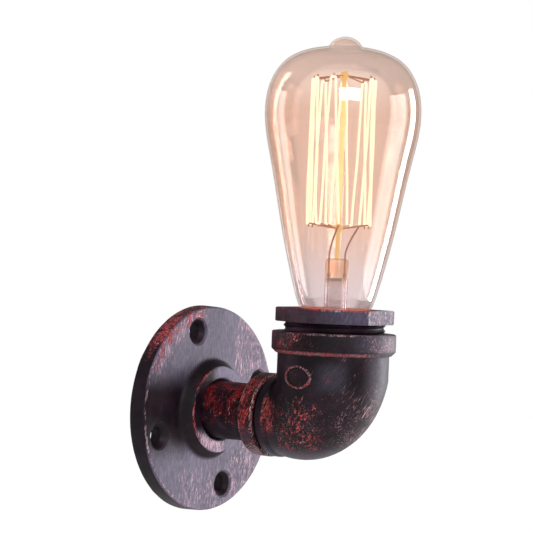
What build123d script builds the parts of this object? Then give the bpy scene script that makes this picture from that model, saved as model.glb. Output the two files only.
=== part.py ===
from build123d import *
import os
from math import asin, cos, degrees, radians, sin, tan

# Industrial pipe wall light: a cast floor flange, a pipe nipple, a round-headed reducing bush and a
# reducing elbow, in whose mouth a hexagon bushing traps a ceramic lampholder with a caged filament bulb.
#
# Frame: the wall is the plane Y = 0, the pipe runs out from it along -Y on the line X = Z = 0, and the
# bulb stands upright, +Z up, at Y = -BULB_REACH. All sizes are millimetres. An "out" value is a
# distance from the wall, so out = -Y.

# ---- Driving dimensions: overall
BULB_REACH = 70.75          # wall to the bulb's axis
BULB_D = 64.0               # widest diameter of the bulb
BULB_LENGTH = 140.0         # tip to solder contact
BULB_FOOT_Z = 17.2          # solder contact above the pipe's axis

# ---- Wall flange
FLANGE_D = 88.0
FLANGE_T = 7.6
FLANGE_DRAFT = 0.35         # how much smaller in radius the front face is than the back
FLANGE_EDGE_R = 1.2
FLANGE_BACK_R = 0.4
BOSS_FILLET_R = 2.4
BOSS_EDGE_R = 1.0
BOSS_OUT = 13.3             # wall to the boss's front
BOSS_ROOT_R = 21.3
BOSS_TIP_R = 18.2
BOSS_MOUTH_CHAMFER = 1.5
SCREW_CIRCLE_D = 69.2
SCREW_COUNT = 4
SCREW_CLOCK = -17.4         # degrees from straight up, about the pipe's axis
SCREW_HOLE_D = 6.6
SCREW_SINK_D = 11.8

# ---- Pipe nipple
NIPPLE_D = 24.4
NIPPLE_WALL = 2.9
NIPPLE_START = 2.0          # inner end of the nipple, out from the wall
NIPPLE_CHAMFER = 0.7
NIPPLE_SHORT = 1.5          # how far the nipple stops short of the bush's inner end

# ---- Reducing bush between nipple and elbow
BUSH_HEAD_D = 34.9
BUSH_HEAD_T = 6.6
BUSH_GAP = 1.7              # stretch of its thread that shows between head and elbow
BUSH_SPIGOT_WALL = 1.9      # between the bore that turns on the nipple and the thread
BUSH_SPIGOT_LENGTH = 9.6    # from the head's face
BUSH_EDGE = 0.5

# ---- Elbow
ELBOW_MOUTH_SETBACK = 26.75 # bulb's axis back to the elbow's small mouth
ELBOW_WALL = 1.9            # over the bush's thread
ELBOW_LARGE_D = 45.8
ELBOW_CROTCH_R = 0.9        # inside radius of the bend
ELBOW_GROWTH = 1.2          # above 1 the bend keeps slim longer before it swells
ELBOW_HEEL = 0.9            # extra radius at the middle of the bend, for a full heel
BEND_SPANS = 3              # the bend is lofted in spans of a third each,
SPAN_STEPS = 3              # through discs this many steps apart
ELBOW_BEAD_T = 1.1          # how far the mouth's bead stands out
ELBOW_BEAD_W = 3.6
ELBOW_BEAD_R = 0.8
BAND_D = 51.0
BAND_BASE_Z = 27.3
BAND_TOP_Z = 36.2
BAND_CHAMFER = 1.7
BAND_EDGE_R = 0.7
SEAT_Z = 16.0               # ledge that carries the lampholder
SEAT_WIDTH = 2.2
THREAD_RUNOUT = 0.6
PAD_D = 10.6                # plain round foundry pad on the elbow's side
PAD_Z = 18.2
PAD_PROUD = 0.5
PAD_ROOT = 3.0              # how deep the ring starts inside the wall
PAD_RIM = 0.9
PAD_CLOCK = 177.0           # degrees from +X about the bulb's axis

# ---- Hexagon bushing
HEX_AF = 42.2
HEX_T = 5.8
HEX_CLOCK = 8.6             # degrees from +X to a corner
BUSHING_THREAD_D = 41.9
BUSHING_THREAD_LENGTH = 12.7
BUSHING_SHOW = 3.8          # stretch of thread that shows under the head
BUSHING_BORE_D = 31.6
BUSHING_LIP_T = 4.8         # solid lip over the lampholder

# ---- Lampholder
HOLDER_D = 36.0
HOLDER_STEM_D = 27.0
HOLDER_STEM_Z = 10.4
HOLDER_FLOOR_Z = 21.0       # inside floor that the screw shell stands on
HOLDER_WELL_STEP = 3.7      # how much smaller in radius the well is than the cap
HOLDER_WELL_Z = 15.4
HOLDER_MOUTH_CHAMFER = 0.8
SHELL_WALL = 0.4
SHELL_LENGTH = 18.4
SHELL_LIP = 2.8
TERMINAL_W = 5.0
TERMINAL_L = 7.0
TERMINAL_T = 3.8
CENTRE_TERMINAL_X = -6.4
SHELL_TERMINAL_X = 9.0
TERMINAL_BURY = 0.4         # how far the blocks sit up inside the ceramic's foot
TAB_T = 0.8
TAB_W = 3.0
TAB_GAP = 0.1
TERMINAL_SCREW_D = 2.6
TERMINAL_HEAD_D = 4.4
TERMINAL_HEAD_T = 1.6
TERMINAL_WIRE_D = 1.6
POCKET_GAP = 0.5
LEAF_T = 0.4
LEAF_W = 5.0
LEAF_ROOT_X = -4.6
LEAF_TIP_X = 2.6

# ---- Leads
LEAD_D = 2.2
LEAD_CORE_D = 1.0
LEAD_SPREAD = 1.5           # how far each lead lies from the pipe's axis
LEAD_BARE = 4.0             # stripped tail
LEAD_END_OUT = 1.0          # tails end just inside the flange's back
LEAD_FLARE_X = 15.5         # nipple bore radius over these two is the share of the way out to the
LEAD_FLARE_Z = 18.6         # terminals that a lead has come, sideways and upwards, as it leaves the nipple
LUG_D = 7.6
LUG_T = 0.8
LUG_NECK = 2.0
EARTH_SCREW_D = 3.0
EARTH_HEAD_D = 5.4
EARTH_HEAD_T = 2.0
EARTH_SETBACK = 10.25       # bulb's axis back to the earth screw
EARTH_Z = -1.0
EARTH_PAD_DEPTH = 3.26      # small end's radius in to the face of the pad that the lug lies on
EARTH_PAD_D = 8.6
EARTH_PAD_BURY = 0.6        # how far the pad runs into the wall beyond the small end's radius

# ---- Bulb
GLASS_WALL = 0.9
CROWN_H = 30.2              # widest place to tip
LOWER_SHAPE = ((0.0873, 0.515), (0.3612, 0.697), (0.6746, 0.862))   # shares of the height, of the radius
UPPER_SHAPE = ((0.5946, 0.872), (0.9073, 0.56))
NECK_D = 24.8               # glass inside the cap
NECK_FLARE = 0.85           # how far the neck has opened where it leaves the cap
NECK_BASE_Z = 36.0
CAP_D = 26.4
CAP_WALL = 0.3
CAP_BASE_Z = 22.9           # foot of the cap's metal
CAP_SKIRT_Z = 40.2
CAP_TOP_Z = 43.4
CAP_SKIRT_D = 27.2
CONTACT_D = 9.4
CONTACT_T = 1.1
PIP_D = 15.0                # sealed-off tip of the glass
PIP_H = 4.3
STEM_D = 9.5
STEM_PRESS_T = 4.4
STEM_PRESS_Z = 57.0
STEM_TOP_Z = 66.4
ROD_D = 2.0
BEAD_D = 4.0
BULB_CLOCK = -52.7          # way that the stem's flat press faces, degrees from +X
CAGE_D = 26.0
CAGE_DROP = 17.6            # tip of the glass down to the cage's upper ring
CAGE_RISE = 13.9            # stem's top up to the cage's lower ring
CAGE_HOOKS = 8              # hooks at the top; the bottom has one fewer and two lead ends
CAGE_PITCH = 40.0           # degrees from one bottom hook to the next
CAGE_START = -52.0          # first lead end, degrees from the press's own line
FILAMENT_D = 0.9
HOOK_TURN = 2.0             # width of the filament's turn round a hook
SUPPORT_D = 0.6
SUPPORT_RISE = 1.6          # how far the beads stand beyond the hooks
HOOK_LENGTH = 1.4
LEAD_IN_D = 0.8

# ---- Clearances
THREAD_GAP = 0.05           # radial, in a screwed joint that stays put
TURN_GAP = 0.06             # radial, between the nipple and the bush that turns on it
BULB_THREAD_GAP = 0.08      # radial, between the cap and the screw shell
HOLDER_GAP = 0.3            # radial, round the ceramic
LEAF_GAP = 0.06             # leaf to solder contact
HINGE_GAP = 0.1
BOND_GAP = 0.02             # glass to cement, cement to cap
MELT_GAP = 0.06             # bead to the wires melted into it

# ---- Worked out from the above
NIPPLE_R = NIPPLE_D / 2
NIPPLE_BORE_R = NIPPLE_R - NIPPLE_WALL
ELBOW_MOUTH_OUT = BULB_REACH - ELBOW_MOUTH_SETBACK
BUSH_FACE_OUT = ELBOW_MOUTH_OUT - BUSH_GAP
BUSH_END_OUT = BUSH_FACE_OUT + BUSH_SPIGOT_LENGTH
NIPPLE_END = BUSH_END_OUT - NIPPLE_SHORT
BUSH_SPIGOT_R = NIPPLE_R + TURN_GAP + BUSH_SPIGOT_WALL
SMALL_R = BUSH_SPIGOT_R + ELBOW_WALL
EARTH_PAD_X = SMALL_R - EARTH_PAD_DEPTH
EARTH_OUT = BULB_REACH - EARTH_SETBACK
LARGE_R = ELBOW_LARGE_D / 2
BEND_Z = SMALL_R + ELBOW_CROTCH_R                   # height of the bend's pivot line
BEND_OUT = BULB_REACH - LARGE_R - ELBOW_CROTCH_R    # and its distance from the wall
HEX_BASE_Z = BAND_TOP_Z + BUSHING_SHOW
HEX_TOP_Z = HEX_BASE_Z + HEX_T
BUSHING_END_Z = HEX_BASE_Z - BUSHING_THREAD_LENGTH
HOLDER_TOP_Z = HEX_TOP_Z - BUSHING_LIP_T
HOLDER_R = HOLDER_D / 2
CHAMBER_R = HOLDER_R + HOLDER_GAP
SHELL_IN_R = CAP_D / 2 + BULB_THREAD_GAP
SHELL_OUT_R = SHELL_IN_R + SHELL_WALL
BULB_TOP = BULB_FOOT_Z + BULB_LENGTH
WIDEST_Z = BULB_TOP - CROWN_H
CAGE_TOP_Z = BULB_TOP - CAGE_DROP
CAGE_BASE_Z = STEM_TOP_Z + CAGE_RISE
BULB_AXIS = Axis((0, -BULB_REACH, 0), (0, 0, 1))
LEAD_R = LEAD_D / 2


# ---- Helpers
def turned_on_pipe(points, radii=0):
    """Solid of revolution about the pipe's axis from (out, radius) points, corners rounded to radii."""
    outline = [(0, -out, radius) for out, radius in points]
    return revolve(make_face(FilletPolyline(*outline, radius=radii, close=True)), Axis.Y)


def turned_on_bulb(points, radii=0):
    """Solid of revolution about the bulb's axis from (radius, height) points, corners rounded."""
    outline = [(radius, -BULB_REACH, height) for radius, height in points]
    return revolve(make_face(FilletPolyline(*outline, radius=radii, close=True)), BULB_AXIS)


def pipe_cylinder(radius, start, end):
    """Plain cylinder on the pipe's axis between two distances from the wall."""
    return Pos(0, -(start + end) / 2, 0) * Rot(90, 0, 0) * Cylinder(radius, end - start)


def bulb_cylinder(radius, base, top):
    """Plain cylinder on the bulb's axis between two heights."""
    return Pos(0, -BULB_REACH, (base + top) / 2) * Cylinder(radius, top - base)


def rod_between(start, end, diameter):
    """Round bar from one point to another."""
    path = Line(start, end)
    plane = Plane(origin=path @ 0, z_dir=path % 0)
    return sweep(plane * Circle(diameter / 2), path)


def bent_rod(points, diameter, ease=0.45):
    """Round bar through points, each corner an arc as large as the runs beside it allow."""
    bends = []
    for before, corner, after in zip(points, points[1:], points[2:]):
        run_in = Vector(*corner) - Vector(*before)
        run_out = Vector(*after) - Vector(*corner)
        half_turn = radians(run_in.get_angle(run_out)) / 2
        bends.append(ease * min(run_in.length, run_out.length) / tan(half_turn))
    path = FilletPolyline(*points, radius=bends)
    plane = Plane(origin=path @ 0, z_dir=path % 0)
    return sweep(plane * Circle(diameter / 2), path)


def on_bulb(radius, angle, height):
    """Point at a radius and an angle (degrees from +X) about the bulb's axis."""
    return (radius * cos(radians(angle)), -BULB_REACH + radius * sin(radians(angle)), height)


# ---- Wall side
def make_wall_flange():
    back_r = FLANGE_D / 2
    bore_r = NIPPLE_R + THREAD_GAP
    mouth_r = bore_r + BOSS_MOUTH_CHAMFER
    outline = [
        (0, bore_r),
        (0, back_r),
        (FLANGE_T, back_r - FLANGE_DRAFT),
        (FLANGE_T, BOSS_ROOT_R),
        (BOSS_OUT, BOSS_TIP_R),
        (BOSS_OUT, mouth_r),
        (BOSS_OUT - BOSS_MOUTH_CHAMFER, bore_r),
    ]
    flange = turned_on_pipe(outline, (0, FLANGE_BACK_R, FLANGE_EDGE_R, BOSS_FILLET_R, BOSS_EDGE_R, 0, 0))
    sink_depth = (SCREW_SINK_D - SCREW_HOLE_D) / 2
    hole_r = SCREW_HOLE_D / 2
    hole = turned_on_pipe([
        (-1, 0),
        (-1, hole_r),
        (FLANGE_T - sink_depth, hole_r),
        (FLANGE_T, SCREW_SINK_D / 2),
        (FLANGE_T + 1, SCREW_SINK_D / 2),
        (FLANGE_T + 1, 0),
    ])
    for count in range(SCREW_COUNT):
        angle = radians(SCREW_CLOCK + 360 * count / SCREW_COUNT)
        across = SCREW_CIRCLE_D / 2 * sin(angle)
        height = SCREW_CIRCLE_D / 2 * cos(angle)
        flange -= Pos(across, 0, height) * hole
    return flange


def make_pipe_nipple():
    chamfer_r = NIPPLE_R - NIPPLE_CHAMFER
    return turned_on_pipe([
        (NIPPLE_START, NIPPLE_BORE_R),
        (NIPPLE_START, chamfer_r),
        (NIPPLE_START + NIPPLE_CHAMFER, NIPPLE_R),
        (NIPPLE_END - NIPPLE_CHAMFER, NIPPLE_R),
        (NIPPLE_END, chamfer_r),
        (NIPPLE_END, NIPPLE_BORE_R),
    ])


# ---- Fittings that turn with the elbow
def make_reducer_bush():
    head_r = BUSH_HEAD_D / 2
    bore_r = NIPPLE_R + TURN_GAP
    head_back = BUSH_FACE_OUT - BUSH_HEAD_T
    return turned_on_pipe([
        (head_back, bore_r),
        (head_back, head_r - BUSH_EDGE),
        (head_back + BUSH_EDGE, head_r),
        (BUSH_FACE_OUT, head_r),
        (BUSH_FACE_OUT, BUSH_SPIGOT_R),
        (BUSH_END_OUT - BUSH_EDGE, BUSH_SPIGOT_R),
        (BUSH_END_OUT, BUSH_SPIGOT_R - BUSH_EDGE),
        (BUSH_END_OUT, bore_r),
    ])


def bend_section(share, radius):
    """Disc across the bend: share 0 is square to the pipe, share 1 is square to the bulb's axis."""
    angle = radians(90 * share)
    swell = share ** ELBOW_GROWTH
    body_r = SMALL_R + (LARGE_R - SMALL_R) * swell + ELBOW_HEEL * sin(2 * angle)
    reach = body_r + ELBOW_CROTCH_R
    centre = (0, -BEND_OUT - reach * sin(angle), BEND_Z - reach * cos(angle))
    plane = Plane(origin=centre, x_dir=(1, 0, 0), z_dir=(0, -cos(angle), sin(angle)))
    return plane * Circle(radius(body_r, swell))


def bend(radius):
    """Loft round the bend; radius turns the body's radius and its swell into this loft's radius."""
    steps = BEND_SPANS * SPAN_STEPS
    spans = []
    for first in range(0, steps, SPAN_STEPS):
        shares = [count / steps for count in range(first, first + SPAN_STEPS + 1)]
        spans.append(loft([bend_section(share, radius) for share in shares]))
    return spans[0].fuse(*spans[1:])


def make_foundry_pad():
    """Plain raised ring cast on the elbow's side, following its surface."""
    pad_r = PAD_D / 2
    root = LARGE_R - PAD_ROOT
    height = 2 * PAD_ROOT
    ring = Cylinder(pad_r, height, align=(Align.CENTER, Align.CENTER, Align.MIN))
    ring -= Cylinder(pad_r - PAD_RIM, height, align=(Align.CENTER, Align.CENTER, Align.MIN))
    ring = Pos(0, -BULB_REACH, PAD_Z) * Rot(0, 0, PAD_CLOCK) * Rot(0, 90, 0) * Pos(0, 0, root) * ring
    skin = bend(lambda body_r, swell: body_r + PAD_PROUD)
    skin += bulb_cylinder(LARGE_R + PAD_PROUD, BEND_Z, BAND_BASE_Z)
    return ring & skin


def make_elbow():
    bead_r = SMALL_R + ELBOW_BEAD_T
    bead_end = ELBOW_MOUTH_OUT + ELBOW_BEAD_W
    body = bend(lambda body_r, swell: body_r)
    body += pipe_cylinder(SMALL_R, ELBOW_MOUTH_OUT, BEND_OUT)
    body += bulb_cylinder(LARGE_R, BEND_Z, BAND_BASE_Z)
    body += turned_on_pipe([
        (ELBOW_MOUTH_OUT, 0),
        (ELBOW_MOUTH_OUT, bead_r),
        (bead_end, bead_r),
        (bead_end, 0),
    ], (0, ELBOW_BEAD_R, ELBOW_BEAD_R, 0))
    body += turned_on_bulb([
        (0, BAND_BASE_Z - 1),
        (LARGE_R, BAND_BASE_Z - 1),
        (LARGE_R, BAND_BASE_Z),
        (BAND_D / 2 - BAND_CHAMFER, BAND_BASE_Z),
        (BAND_D / 2, BAND_BASE_Z + BAND_CHAMFER),
        (BAND_D / 2, BAND_TOP_Z),
        (0, BAND_TOP_Z),
    ], (0, 0, 0, 0.4, 0.5, BAND_EDGE_R, 0))
    body += make_foundry_pad()
    hollow = bend(lambda body_r, swell: BUSH_SPIGOT_R + (CHAMBER_R - SEAT_WIDTH - BUSH_SPIGOT_R) * swell)
    hollow += pipe_cylinder(BUSH_SPIGOT_R, ELBOW_MOUTH_OUT - 1, BEND_OUT)
    hollow += pipe_cylinder(BUSH_SPIGOT_R + THREAD_GAP, ELBOW_MOUTH_OUT - 1, BUSH_END_OUT + THREAD_GAP)
    hollow += bulb_cylinder(CHAMBER_R - SEAT_WIDTH, BEND_Z - THREAD_GAP, BAND_BASE_Z)
    hollow += bulb_cylinder(CHAMBER_R, SEAT_Z, BAND_TOP_Z)
    hollow += bulb_cylinder(
        BUSHING_THREAD_D / 2 + THREAD_GAP, BUSHING_END_Z - THREAD_RUNOUT, BAND_TOP_Z + 1)
    return body - hollow + make_earth_pad() - earth_screw_hole()


def make_earth_pad():
    """Flat pad inside the elbow's side wall, joined to it."""
    side_r = SMALL_R + EARTH_PAD_BURY
    pad = Cylinder(EARTH_PAD_D / 2, side_r - EARTH_PAD_X, align=(Align.CENTER, Align.CENTER, Align.MIN))
    return Pos(EARTH_PAD_X, -EARTH_OUT, EARTH_Z) * Rot(0, 90, 0) * pad


def earth_screw_hole():
    """Blind hole in the pad for the earth screw."""
    hole = Cylinder(
        EARTH_SCREW_D / 2 + THREAD_GAP, EARTH_SCREW_D, align=(Align.CENTER, Align.CENTER, Align.MIN))
    return Pos(EARTH_PAD_X, -EARTH_OUT, EARTH_Z) * Rot(0, 90, 0) * hole


def make_hex_bushing():
    head = extrude(RegularPolygon(HEX_AF / 2, 6, major_radius=False), HEX_T)
    head = Pos(0, -BULB_REACH, HEX_BASE_Z) * Rot(0, 0, HEX_CLOCK) * head
    thread_r = BUSHING_THREAD_D / 2
    spigot = turned_on_bulb([
        (0, BUSHING_END_Z),
        (thread_r - 0.6, BUSHING_END_Z),
        (thread_r, BUSHING_END_Z + 0.6),
        (thread_r, HEX_BASE_Z),
        (0, HEX_BASE_Z),
    ])
    bore_r = BUSHING_BORE_D / 2
    bore = turned_on_bulb([
        (0, BUSHING_END_Z - 1),
        (CHAMBER_R, BUSHING_END_Z - 1),
        (CHAMBER_R, HOLDER_TOP_Z),
        (bore_r, HOLDER_TOP_Z),
        (bore_r, HEX_TOP_Z - 0.6),
        (bore_r + 0.6, HEX_TOP_Z),
        (bore_r + 0.6, HEX_TOP_Z + 1),
        (0, HEX_TOP_Z + 1),
    ])
    return head + spigot - bore


# ---- Lampholder
TERMINAL_BASE_Z = HOLDER_STEM_Z + TERMINAL_BURY
TERMINAL_TOP_Z = TERMINAL_BASE_Z + TERMINAL_T
WIRE_Z = TERMINAL_BASE_Z + TERMINAL_T / 2
CENTRE_TAB_X = LEAF_ROOT_X - 1.4
SHELL_TAB_X = SHELL_IN_R - SHELL_LIP + TAB_T


def make_lampholder_body():
    shell_seat_r = SHELL_OUT_R + THREAD_GAP
    well_r = CAP_D / 2 - HOLDER_WELL_STEP
    body = turned_on_bulb([
        (0, HOLDER_STEM_Z),
        (HOLDER_STEM_D / 2, HOLDER_STEM_Z),
        (HOLDER_STEM_D / 2, SEAT_Z),
        (HOLDER_R, SEAT_Z),
        (HOLDER_R, HOLDER_TOP_Z),
        (shell_seat_r + HOLDER_MOUTH_CHAMFER, HOLDER_TOP_Z),
        (shell_seat_r, HOLDER_TOP_Z - HOLDER_MOUTH_CHAMFER),
        (shell_seat_r, HOLDER_FLOOR_Z),
        (well_r, HOLDER_FLOOR_Z),
        (well_r, HOLDER_WELL_Z),
        (0, HOLDER_WELL_Z),
    ], (0, 1.0, 0, 0.8, 0.8, 0, 0, 0, 0, 0.5, 0))
    for block_x, tab_x, tab_top in (
        (CENTRE_TERMINAL_X, CENTRE_TAB_X, HOLDER_WELL_Z),
        (SHELL_TERMINAL_X, SHELL_TAB_X, HOLDER_FLOOR_Z),
    ):
        pocket = Box(
            TERMINAL_W + 2 * POCKET_GAP,
            TERMINAL_L / 2 + POCKET_GAP + HOLDER_STEM_D / 2,
            TERMINAL_TOP_Z - HOLDER_STEM_Z + 1,
            align=(Align.CENTER, Align.MIN, Align.MAX),
        )
        body -= Pos(block_x, -BULB_REACH - TERMINAL_L / 2 - POCKET_GAP, TERMINAL_TOP_Z) * pocket
        slot = Box(
            TAB_T + 2 * TAB_GAP,
            TAB_W + 2 * TAB_GAP,
            tab_top - WIRE_Z,
            align=(Align.CENTER, Align.CENTER, Align.MIN),
        )
        body -= Pos(tab_x, -BULB_REACH, WIRE_Z) * slot
    return body


def make_screw_shell():
    return turned_on_bulb([
        (SHELL_IN_R - SHELL_LIP, HOLDER_FLOOR_Z),
        (SHELL_OUT_R, HOLDER_FLOOR_Z),
        (SHELL_OUT_R, HOLDER_FLOOR_Z + SHELL_LENGTH),
        (SHELL_IN_R, HOLDER_FLOOR_Z + SHELL_LENGTH),
        (SHELL_IN_R, HOLDER_FLOOR_Z + SHELL_WALL),
        (SHELL_IN_R - SHELL_LIP, HOLDER_FLOOR_Z + SHELL_WALL),
    ])


def make_terminal(block_x, tab_x, tab_top):
    """Brass block with a wire hole, a screw hole and the tab that rises through the ceramic."""
    block = Pos(block_x, -BULB_REACH, WIRE_Z) * Box(TERMINAL_W, TERMINAL_L, TERMINAL_T)
    wire_hole = Cylinder(TERMINAL_WIRE_D / 2, 2 * LEAD_BARE)
    block -= Pos(block_x, -BULB_REACH + TERMINAL_L / 2, WIRE_Z) * Rot(90, 0, 0) * wire_hole
    screw_hole = Cylinder(TERMINAL_SCREW_D / 2 + THREAD_GAP, TERMINAL_T)
    block -= Pos(block_x, terminal_screw_y(), TERMINAL_BASE_Z) * screw_hole
    tab = Box(TAB_T, TAB_W, tab_top - TERMINAL_TOP_Z, align=(Align.CENTER, Align.CENTER, Align.MIN))
    return block + Pos(tab_x, -BULB_REACH, TERMINAL_TOP_Z) * tab


def terminal_screw_y():
    """Place along Y of the clamping screws."""
    return -BULB_REACH + TERMINAL_L / 4


def make_centre_terminal():
    terminal = make_terminal(CENTRE_TERMINAL_X, CENTRE_TAB_X, HOLDER_WELL_Z)
    foot = Box(2 * (LEAF_ROOT_X - CENTRE_TAB_X), LEAF_W, LEAF_T, align=(Align.MAX, Align.CENTER, Align.MIN))
    return terminal + Pos(LEAF_ROOT_X, -BULB_REACH, HOLDER_WELL_Z) * foot


def make_shell_terminal():
    return make_terminal(SHELL_TERMINAL_X, SHELL_TAB_X, HOLDER_FLOOR_Z)


def make_terminal_screws():
    """The two clamping screws, heads down."""
    screws = []
    shank_length = TERMINAL_T / 2 - LEAD_CORE_D / 2 - THREAD_GAP
    for block_x in (CENTRE_TERMINAL_X, SHELL_TERMINAL_X):
        head = Cylinder(TERMINAL_HEAD_D / 2, TERMINAL_HEAD_T, align=(Align.CENTER, Align.CENTER, Align.MAX))
        shank = Cylinder(TERMINAL_SCREW_D / 2, shank_length, align=(Align.CENTER, Align.CENTER, Align.MIN))
        slot = Box(TERMINAL_HEAD_D + 1, 0.7, 0.6, align=(Align.CENTER, Align.CENTER, Align.MIN))
        screw = head + shank - Pos(0, 0, -TERMINAL_HEAD_T) * slot
        screws.append(Pos(block_x, terminal_screw_y(), TERMINAL_BASE_Z) * screw)
    return Compound(children=screws)


def make_centre_contact():
    """Sprung leaf: rises from its root to a flat under the solder contact."""
    top = BULB_FOOT_Z - LEAF_GAP
    low = HOLDER_WELL_Z + LEAF_T
    start = LEAF_ROOT_X + HINGE_GAP
    bend_x = -CONTACT_D / 4
    strip = Polyline(
        (start, -BULB_REACH, low - LEAF_T),
        (bend_x, -BULB_REACH, top - LEAF_T),
        (LEAF_TIP_X, -BULB_REACH, top - LEAF_T),
        (LEAF_TIP_X, -BULB_REACH, top),
        (bend_x, -BULB_REACH, top),
        (start, -BULB_REACH, low),
        close=True,
    )
    return extrude(make_face(strip), LEAF_W / 2, dir=(0, 1, 0), both=True)


# ---- Leads
def lead_with_core(points):
    """Insulated lead along points, with its bare tails at both ends."""
    cover = bent_rod(points, LEAD_D)
    first = Vector(*points[0])
    last = Vector(*points[-1])
    out_first = (first - Vector(*points[1])).normalized() * LEAD_BARE
    out_last = (last - Vector(*points[-2])).normalized() * LEAD_BARE
    start_tail = rod_between(first, first + out_first, LEAD_CORE_D)
    end_tail = rod_between(last, last + out_last, LEAD_CORE_D)
    return cover + start_tail + end_tail


def make_supply_lead(block_x):
    """Lead from the flange's back to the terminal whose block stands at block_x."""
    across = (1 if block_x > 0 else -1) * LEAD_SPREAD * cos(radians(30))
    height = LEAD_SPREAD * sin(radians(30))
    start = LEAD_END_OUT + LEAD_BARE
    level_off = BULB_REACH - TERMINAL_L / 2 - 0.4
    leave_x = NIPPLE_BORE_R / LEAD_FLARE_X
    leave_z = NIPPLE_BORE_R / LEAD_FLARE_Z
    points = [
        (across, -start, height),
        (across, -(NIPPLE_END - 6), height),
        (block_x * leave_x, -(NIPPLE_END + 1.5), WIRE_Z * leave_z),
        (block_x, -(NIPPLE_END + 8.5), WIRE_Z),
        (block_x, -level_off, WIRE_Z),
    ]
    return lead_with_core(points)


def make_earth_lead():
    """Lead from the flange's back to the earth lug on the elbow's side."""
    lug_x = EARTH_PAD_X - LUG_T - LEAD_R
    lug_y = -(EARTH_OUT - LUG_D / 2 - 0.6)
    points = [
        (0, -(LEAD_END_OUT + LEAD_BARE), -LEAD_SPREAD),
        (0, -(NIPPLE_END - 12), -LEAD_SPREAD),
        (lug_x * 0.36, -(NIPPLE_END - 3.5), -LEAD_SPREAD),
        (lug_x * 0.88, lug_y + 3.2, EARTH_Z - 0.1),
        (lug_x, lug_y, EARTH_Z),
    ]
    cover = bent_rod(points, LEAD_D, ease=0.4)
    tail = rod_between(points[0], (0, -LEAD_END_OUT, -LEAD_SPREAD), LEAD_CORE_D)
    return cover + tail


def make_earth_lug():
    """Ring lug: flat eye under the screw and a short neck beside the lead's end."""
    eye = Cylinder(LUG_D / 2, LUG_T, align=(Align.CENTER, Align.CENTER, Align.MIN))
    neck = Box(2.4, LUG_D / 2 + LUG_NECK, LUG_T, align=(Align.CENTER, Align.MIN, Align.MIN))
    eye += neck
    eye -= Cylinder(EARTH_SCREW_D / 2 + 0.1, 4 * LUG_T)
    return Pos(EARTH_PAD_X - LUG_T, -EARTH_OUT, EARTH_Z) * Rot(0, 90, 0) * eye


def make_earth_screw():
    head = Cylinder(EARTH_HEAD_D / 2, EARTH_HEAD_T, align=(Align.CENTER, Align.CENTER, Align.MAX))
    shank_length = LUG_T + EARTH_SCREW_D - THREAD_GAP
    shank = Cylinder(EARTH_SCREW_D / 2, shank_length, align=(Align.CENTER, Align.CENTER, Align.MIN))
    slot = Box(0.7, EARTH_HEAD_D + 1, 0.8, align=(Align.CENTER, Align.CENTER, Align.MIN))
    screw = head + shank - Pos(0, 0, -EARTH_HEAD_T) * slot
    return Pos(EARTH_PAD_X - LUG_T, -EARTH_OUT, EARTH_Z) * Rot(0, 90, 0) * screw


# ---- Bulb
def glass_side():
    """Outer side of the glass in two curves: neck to widest place, widest place to the tip's root."""
    widest = BULB_D / 2
    axis_y = -BULB_REACH
    root_z = BULB_TOP - PIP_H
    lower_climb = WIDEST_Z - CAP_TOP_Z
    upper_climb = root_z - WIDEST_Z
    lower = Spline(
        (NECK_D / 2 + NECK_FLARE, axis_y, CAP_TOP_Z + 0.2),
        *((widest * out, axis_y, CAP_TOP_Z + lower_climb * up) for up, out in LOWER_SHAPE),
        (widest, axis_y, WIDEST_Z),
        tangents=((0.42, 0, 1), (0, 0, 1)),
    )
    upper = Spline(
        (widest, axis_y, WIDEST_Z),
        *((widest * out, axis_y, WIDEST_Z + upper_climb * up) for up, out in UPPER_SHAPE),
        (PIP_D / 2, axis_y, root_z),
        tangents=((0, 0, 1), (-1, 0, 0.12)),
    )
    return lower, upper


def set_in(curve, depth, samples=7):
    """Curve parallel to another in the X-Z plane, nearer to the bulb's axis by a depth."""
    points = []
    for count in range(samples):
        share = count / (samples - 1)
        way = curve % share
        points.append((curve @ share) + Vector(-way.Z, 0, way.X) * depth)
    return Spline(*points, tangents=(curve % 0, curve % 1))


def crown(root, tip_z):
    """Round dome of the glass's tip, from its root to the axis, which it meets square."""
    height = tip_z - root.Z
    dome_r = (root.X ** 2 + height ** 2) / (2 * height)
    lean = asin(root.X / dome_r) / 2
    middle = (dome_r * sin(lean), root.Y, tip_z - dome_r * (1 - cos(lean)))
    return ThreePointArc(root, middle, (0, root.Y, tip_z))


def make_bulb_envelope():
    lower, upper = glass_side()
    inner_lower = set_in(lower, GLASS_WALL)
    inner_upper = set_in(upper, GLASS_WALL)
    neck_r = NECK_D / 2
    bore_r = neck_r - GLASS_WALL
    axis_y = -BULB_REACH
    shoulder_z = CAP_TOP_Z - 1.4
    outer_neck = Polyline((neck_r, axis_y, NECK_BASE_Z), (neck_r, axis_y, shoulder_z), lower @ 0)
    inner_neck = Polyline((bore_r, axis_y, NECK_BASE_Z), (bore_r, axis_y, shoulder_z + 0.2), inner_lower @ 0)
    section = make_face([
        outer_neck,
        lower,
        upper,
        crown(upper @ 1, BULB_TOP),
        Line((0, axis_y, BULB_TOP), (0, axis_y, BULB_TOP - GLASS_WALL)),
        crown(inner_upper @ 1, BULB_TOP - GLASS_WALL),
        inner_upper,
        inner_lower,
        inner_neck,
        Line((neck_r, axis_y, NECK_BASE_Z), (bore_r, axis_y, NECK_BASE_Z)),
    ])
    return revolve(section, BULB_AXIS)


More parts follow.
